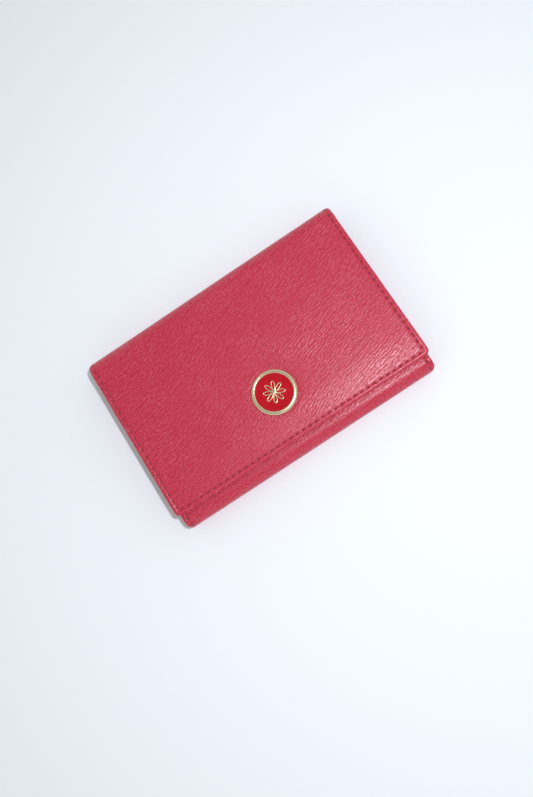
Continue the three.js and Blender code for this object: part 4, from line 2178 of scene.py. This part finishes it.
@dataclass
class CarriedParts:
    """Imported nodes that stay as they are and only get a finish."""

    wardrobe: Wardrobe

    def dress(self, nodes: dict[str, bpy.types.Object]) -> None:
        """Give each node its finish.

        Args:
            nodes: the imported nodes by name.
        """
        finishes = {
            "back_board": self.wardrobe.board,
            "front_board": self.wardrobe.board,
            "flap_board": self.wardrobe.board,
            "snap_cap_rivet": self.wardrobe.gilt,
            "stud_rivet": self.wardrobe.gilt,
        }
        for name, material in finishes.items():
            mesh = nodes[name].data
            mesh.materials.clear()
            mesh.materials.append(material)
            LOG.info("%s: dressed as %s", name, material.name)


# ---------------------------------------------------------------------------------------------------------
# Studio
# ---------------------------------------------------------------------------------------------------------


@dataclass
class Studio:
    """Table, lights and camera."""

    wardrobe: Wardrobe
    floor_half: float = 4.0
    floor_z: float = -0.16 * MM
    lamp_place: Point = (0.090, -0.070, 0.385)
    lamp_size: float = 0.021
    lamp_power: float = 0.96
    lamp_colour: Point = (0.93, 0.93, 1.0)
    camera_place: Point = (0.009424, -0.068637, 0.283979)
    camera_turn: Point = (8.265, 8.559, -32.538)  # degrees
    lens: float = 35.0
    sensor: float = 36.0
    sky: Colour = (0.96, 1.0, 0.98, 1.0)
    overhead: float = 0.28
    horizon: float = 1.16

    def build(self) -> None:
        """Set up the studio."""
        self._floor()
        self._lamp()
        self._sky()
        self._camera()
        LOG.info("studio: table, lamp, sky and camera")

    def _floor(self) -> None:
        """Lay the table top, a grid that isn't part of the holder."""
        work = bmesh.new()
        bmesh.ops.create_grid(work, x_segments=8, y_segments=8, size=self.floor_half)
        for point in work.verts:
            point.co.z = self.floor_z
        mesh = bpy.data.meshes.new("table_top")
        work.to_mesh(mesh)
        work.free()
        mesh.materials.append(self.wardrobe.floor)
        floor = bpy.data.objects.new("table_top", mesh)
        bpy.context.scene.collection.objects.link(floor)

    def _lamp(self) -> None:
        """Hang a round lamp that looks at the holder."""
        data = bpy.data.lights.new("key_lamp", "AREA")
        data.shape = "DISK"
        data.size = self.lamp_size
        data.energy = self.lamp_power
        data.color = self.lamp_colour
        lamp = bpy.data.objects.new("key_lamp", data)
        lamp.location = self.lamp_place
        lamp.rotation_euler = (-Vector(self.lamp_place)).to_track_quat("-Z", "Y").to_euler()
        lamp.visible_camera = False
        bpy.context.scene.collection.objects.link(lamp)

    def _sky(self) -> None:
        """Light everything from all round, brighter at the horizon than overhead."""
        world = bpy.data.worlds.new("soft sky")
        world.use_nodes = True
        graph = Graph(world.node_tree)
        way = graph.node("ShaderNodeTexCoord", None, None, "Generated")
        height = graph.node("ShaderNodeSeparateXYZ", None, {"Vector": way}, "Z")
        strength = self.horizon - abs(height) * (self.horizon - self.overhead)
        light = graph.node("ShaderNodeBackground", None, {"Color": self.sky, "Strength": strength})
        graph.node("ShaderNodeOutputWorld", None, {"Surface": light})
        bpy.context.scene.world = world

    def _camera(self) -> None:
        """Place the camera above the front right corner, turned to show the holder slanting."""
        data = bpy.data.cameras.new("camera")
        data.lens = self.lens
        data.sensor_width = self.sensor
        data.sensor_fit = "AUTO"
        data.clip_start = 0.01
        camera = bpy.data.objects.new("camera", data)
        camera.location = self.camera_place
        camera.rotation_euler = [math.radians(angle) for angle in self.camera_turn]
        bpy.context.scene.collection.objects.link(camera)
        bpy.context.scene.camera = camera
        view = bpy.context.scene.view_settings
        view.view_transform = "Standard"
        view.look = "None"


def main() -> None:
    """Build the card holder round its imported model."""
    logging.basicConfig(level=logging.INFO, format="%(name)s: %(message)s")
    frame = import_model()
    wardrobe = Wardrobe()
    sizes = Sizes.read()
    hide = Hide(sizes)
    work = Leatherwork(hide, wardrobe, Stitching(wardrobe.thread))
    Studio(wardrobe).build()
    Flap(work).build()
    Spine(work).build()
    Back(work).build()
    Front(work).build()
    Gussets(work).build()
    Badge(wardrobe, sizes).build()
    PressStud(wardrobe, sizes).build()
    CarriedParts(wardrobe).dress(frame["nodes"])


if __name__ == "__main__":
    main()
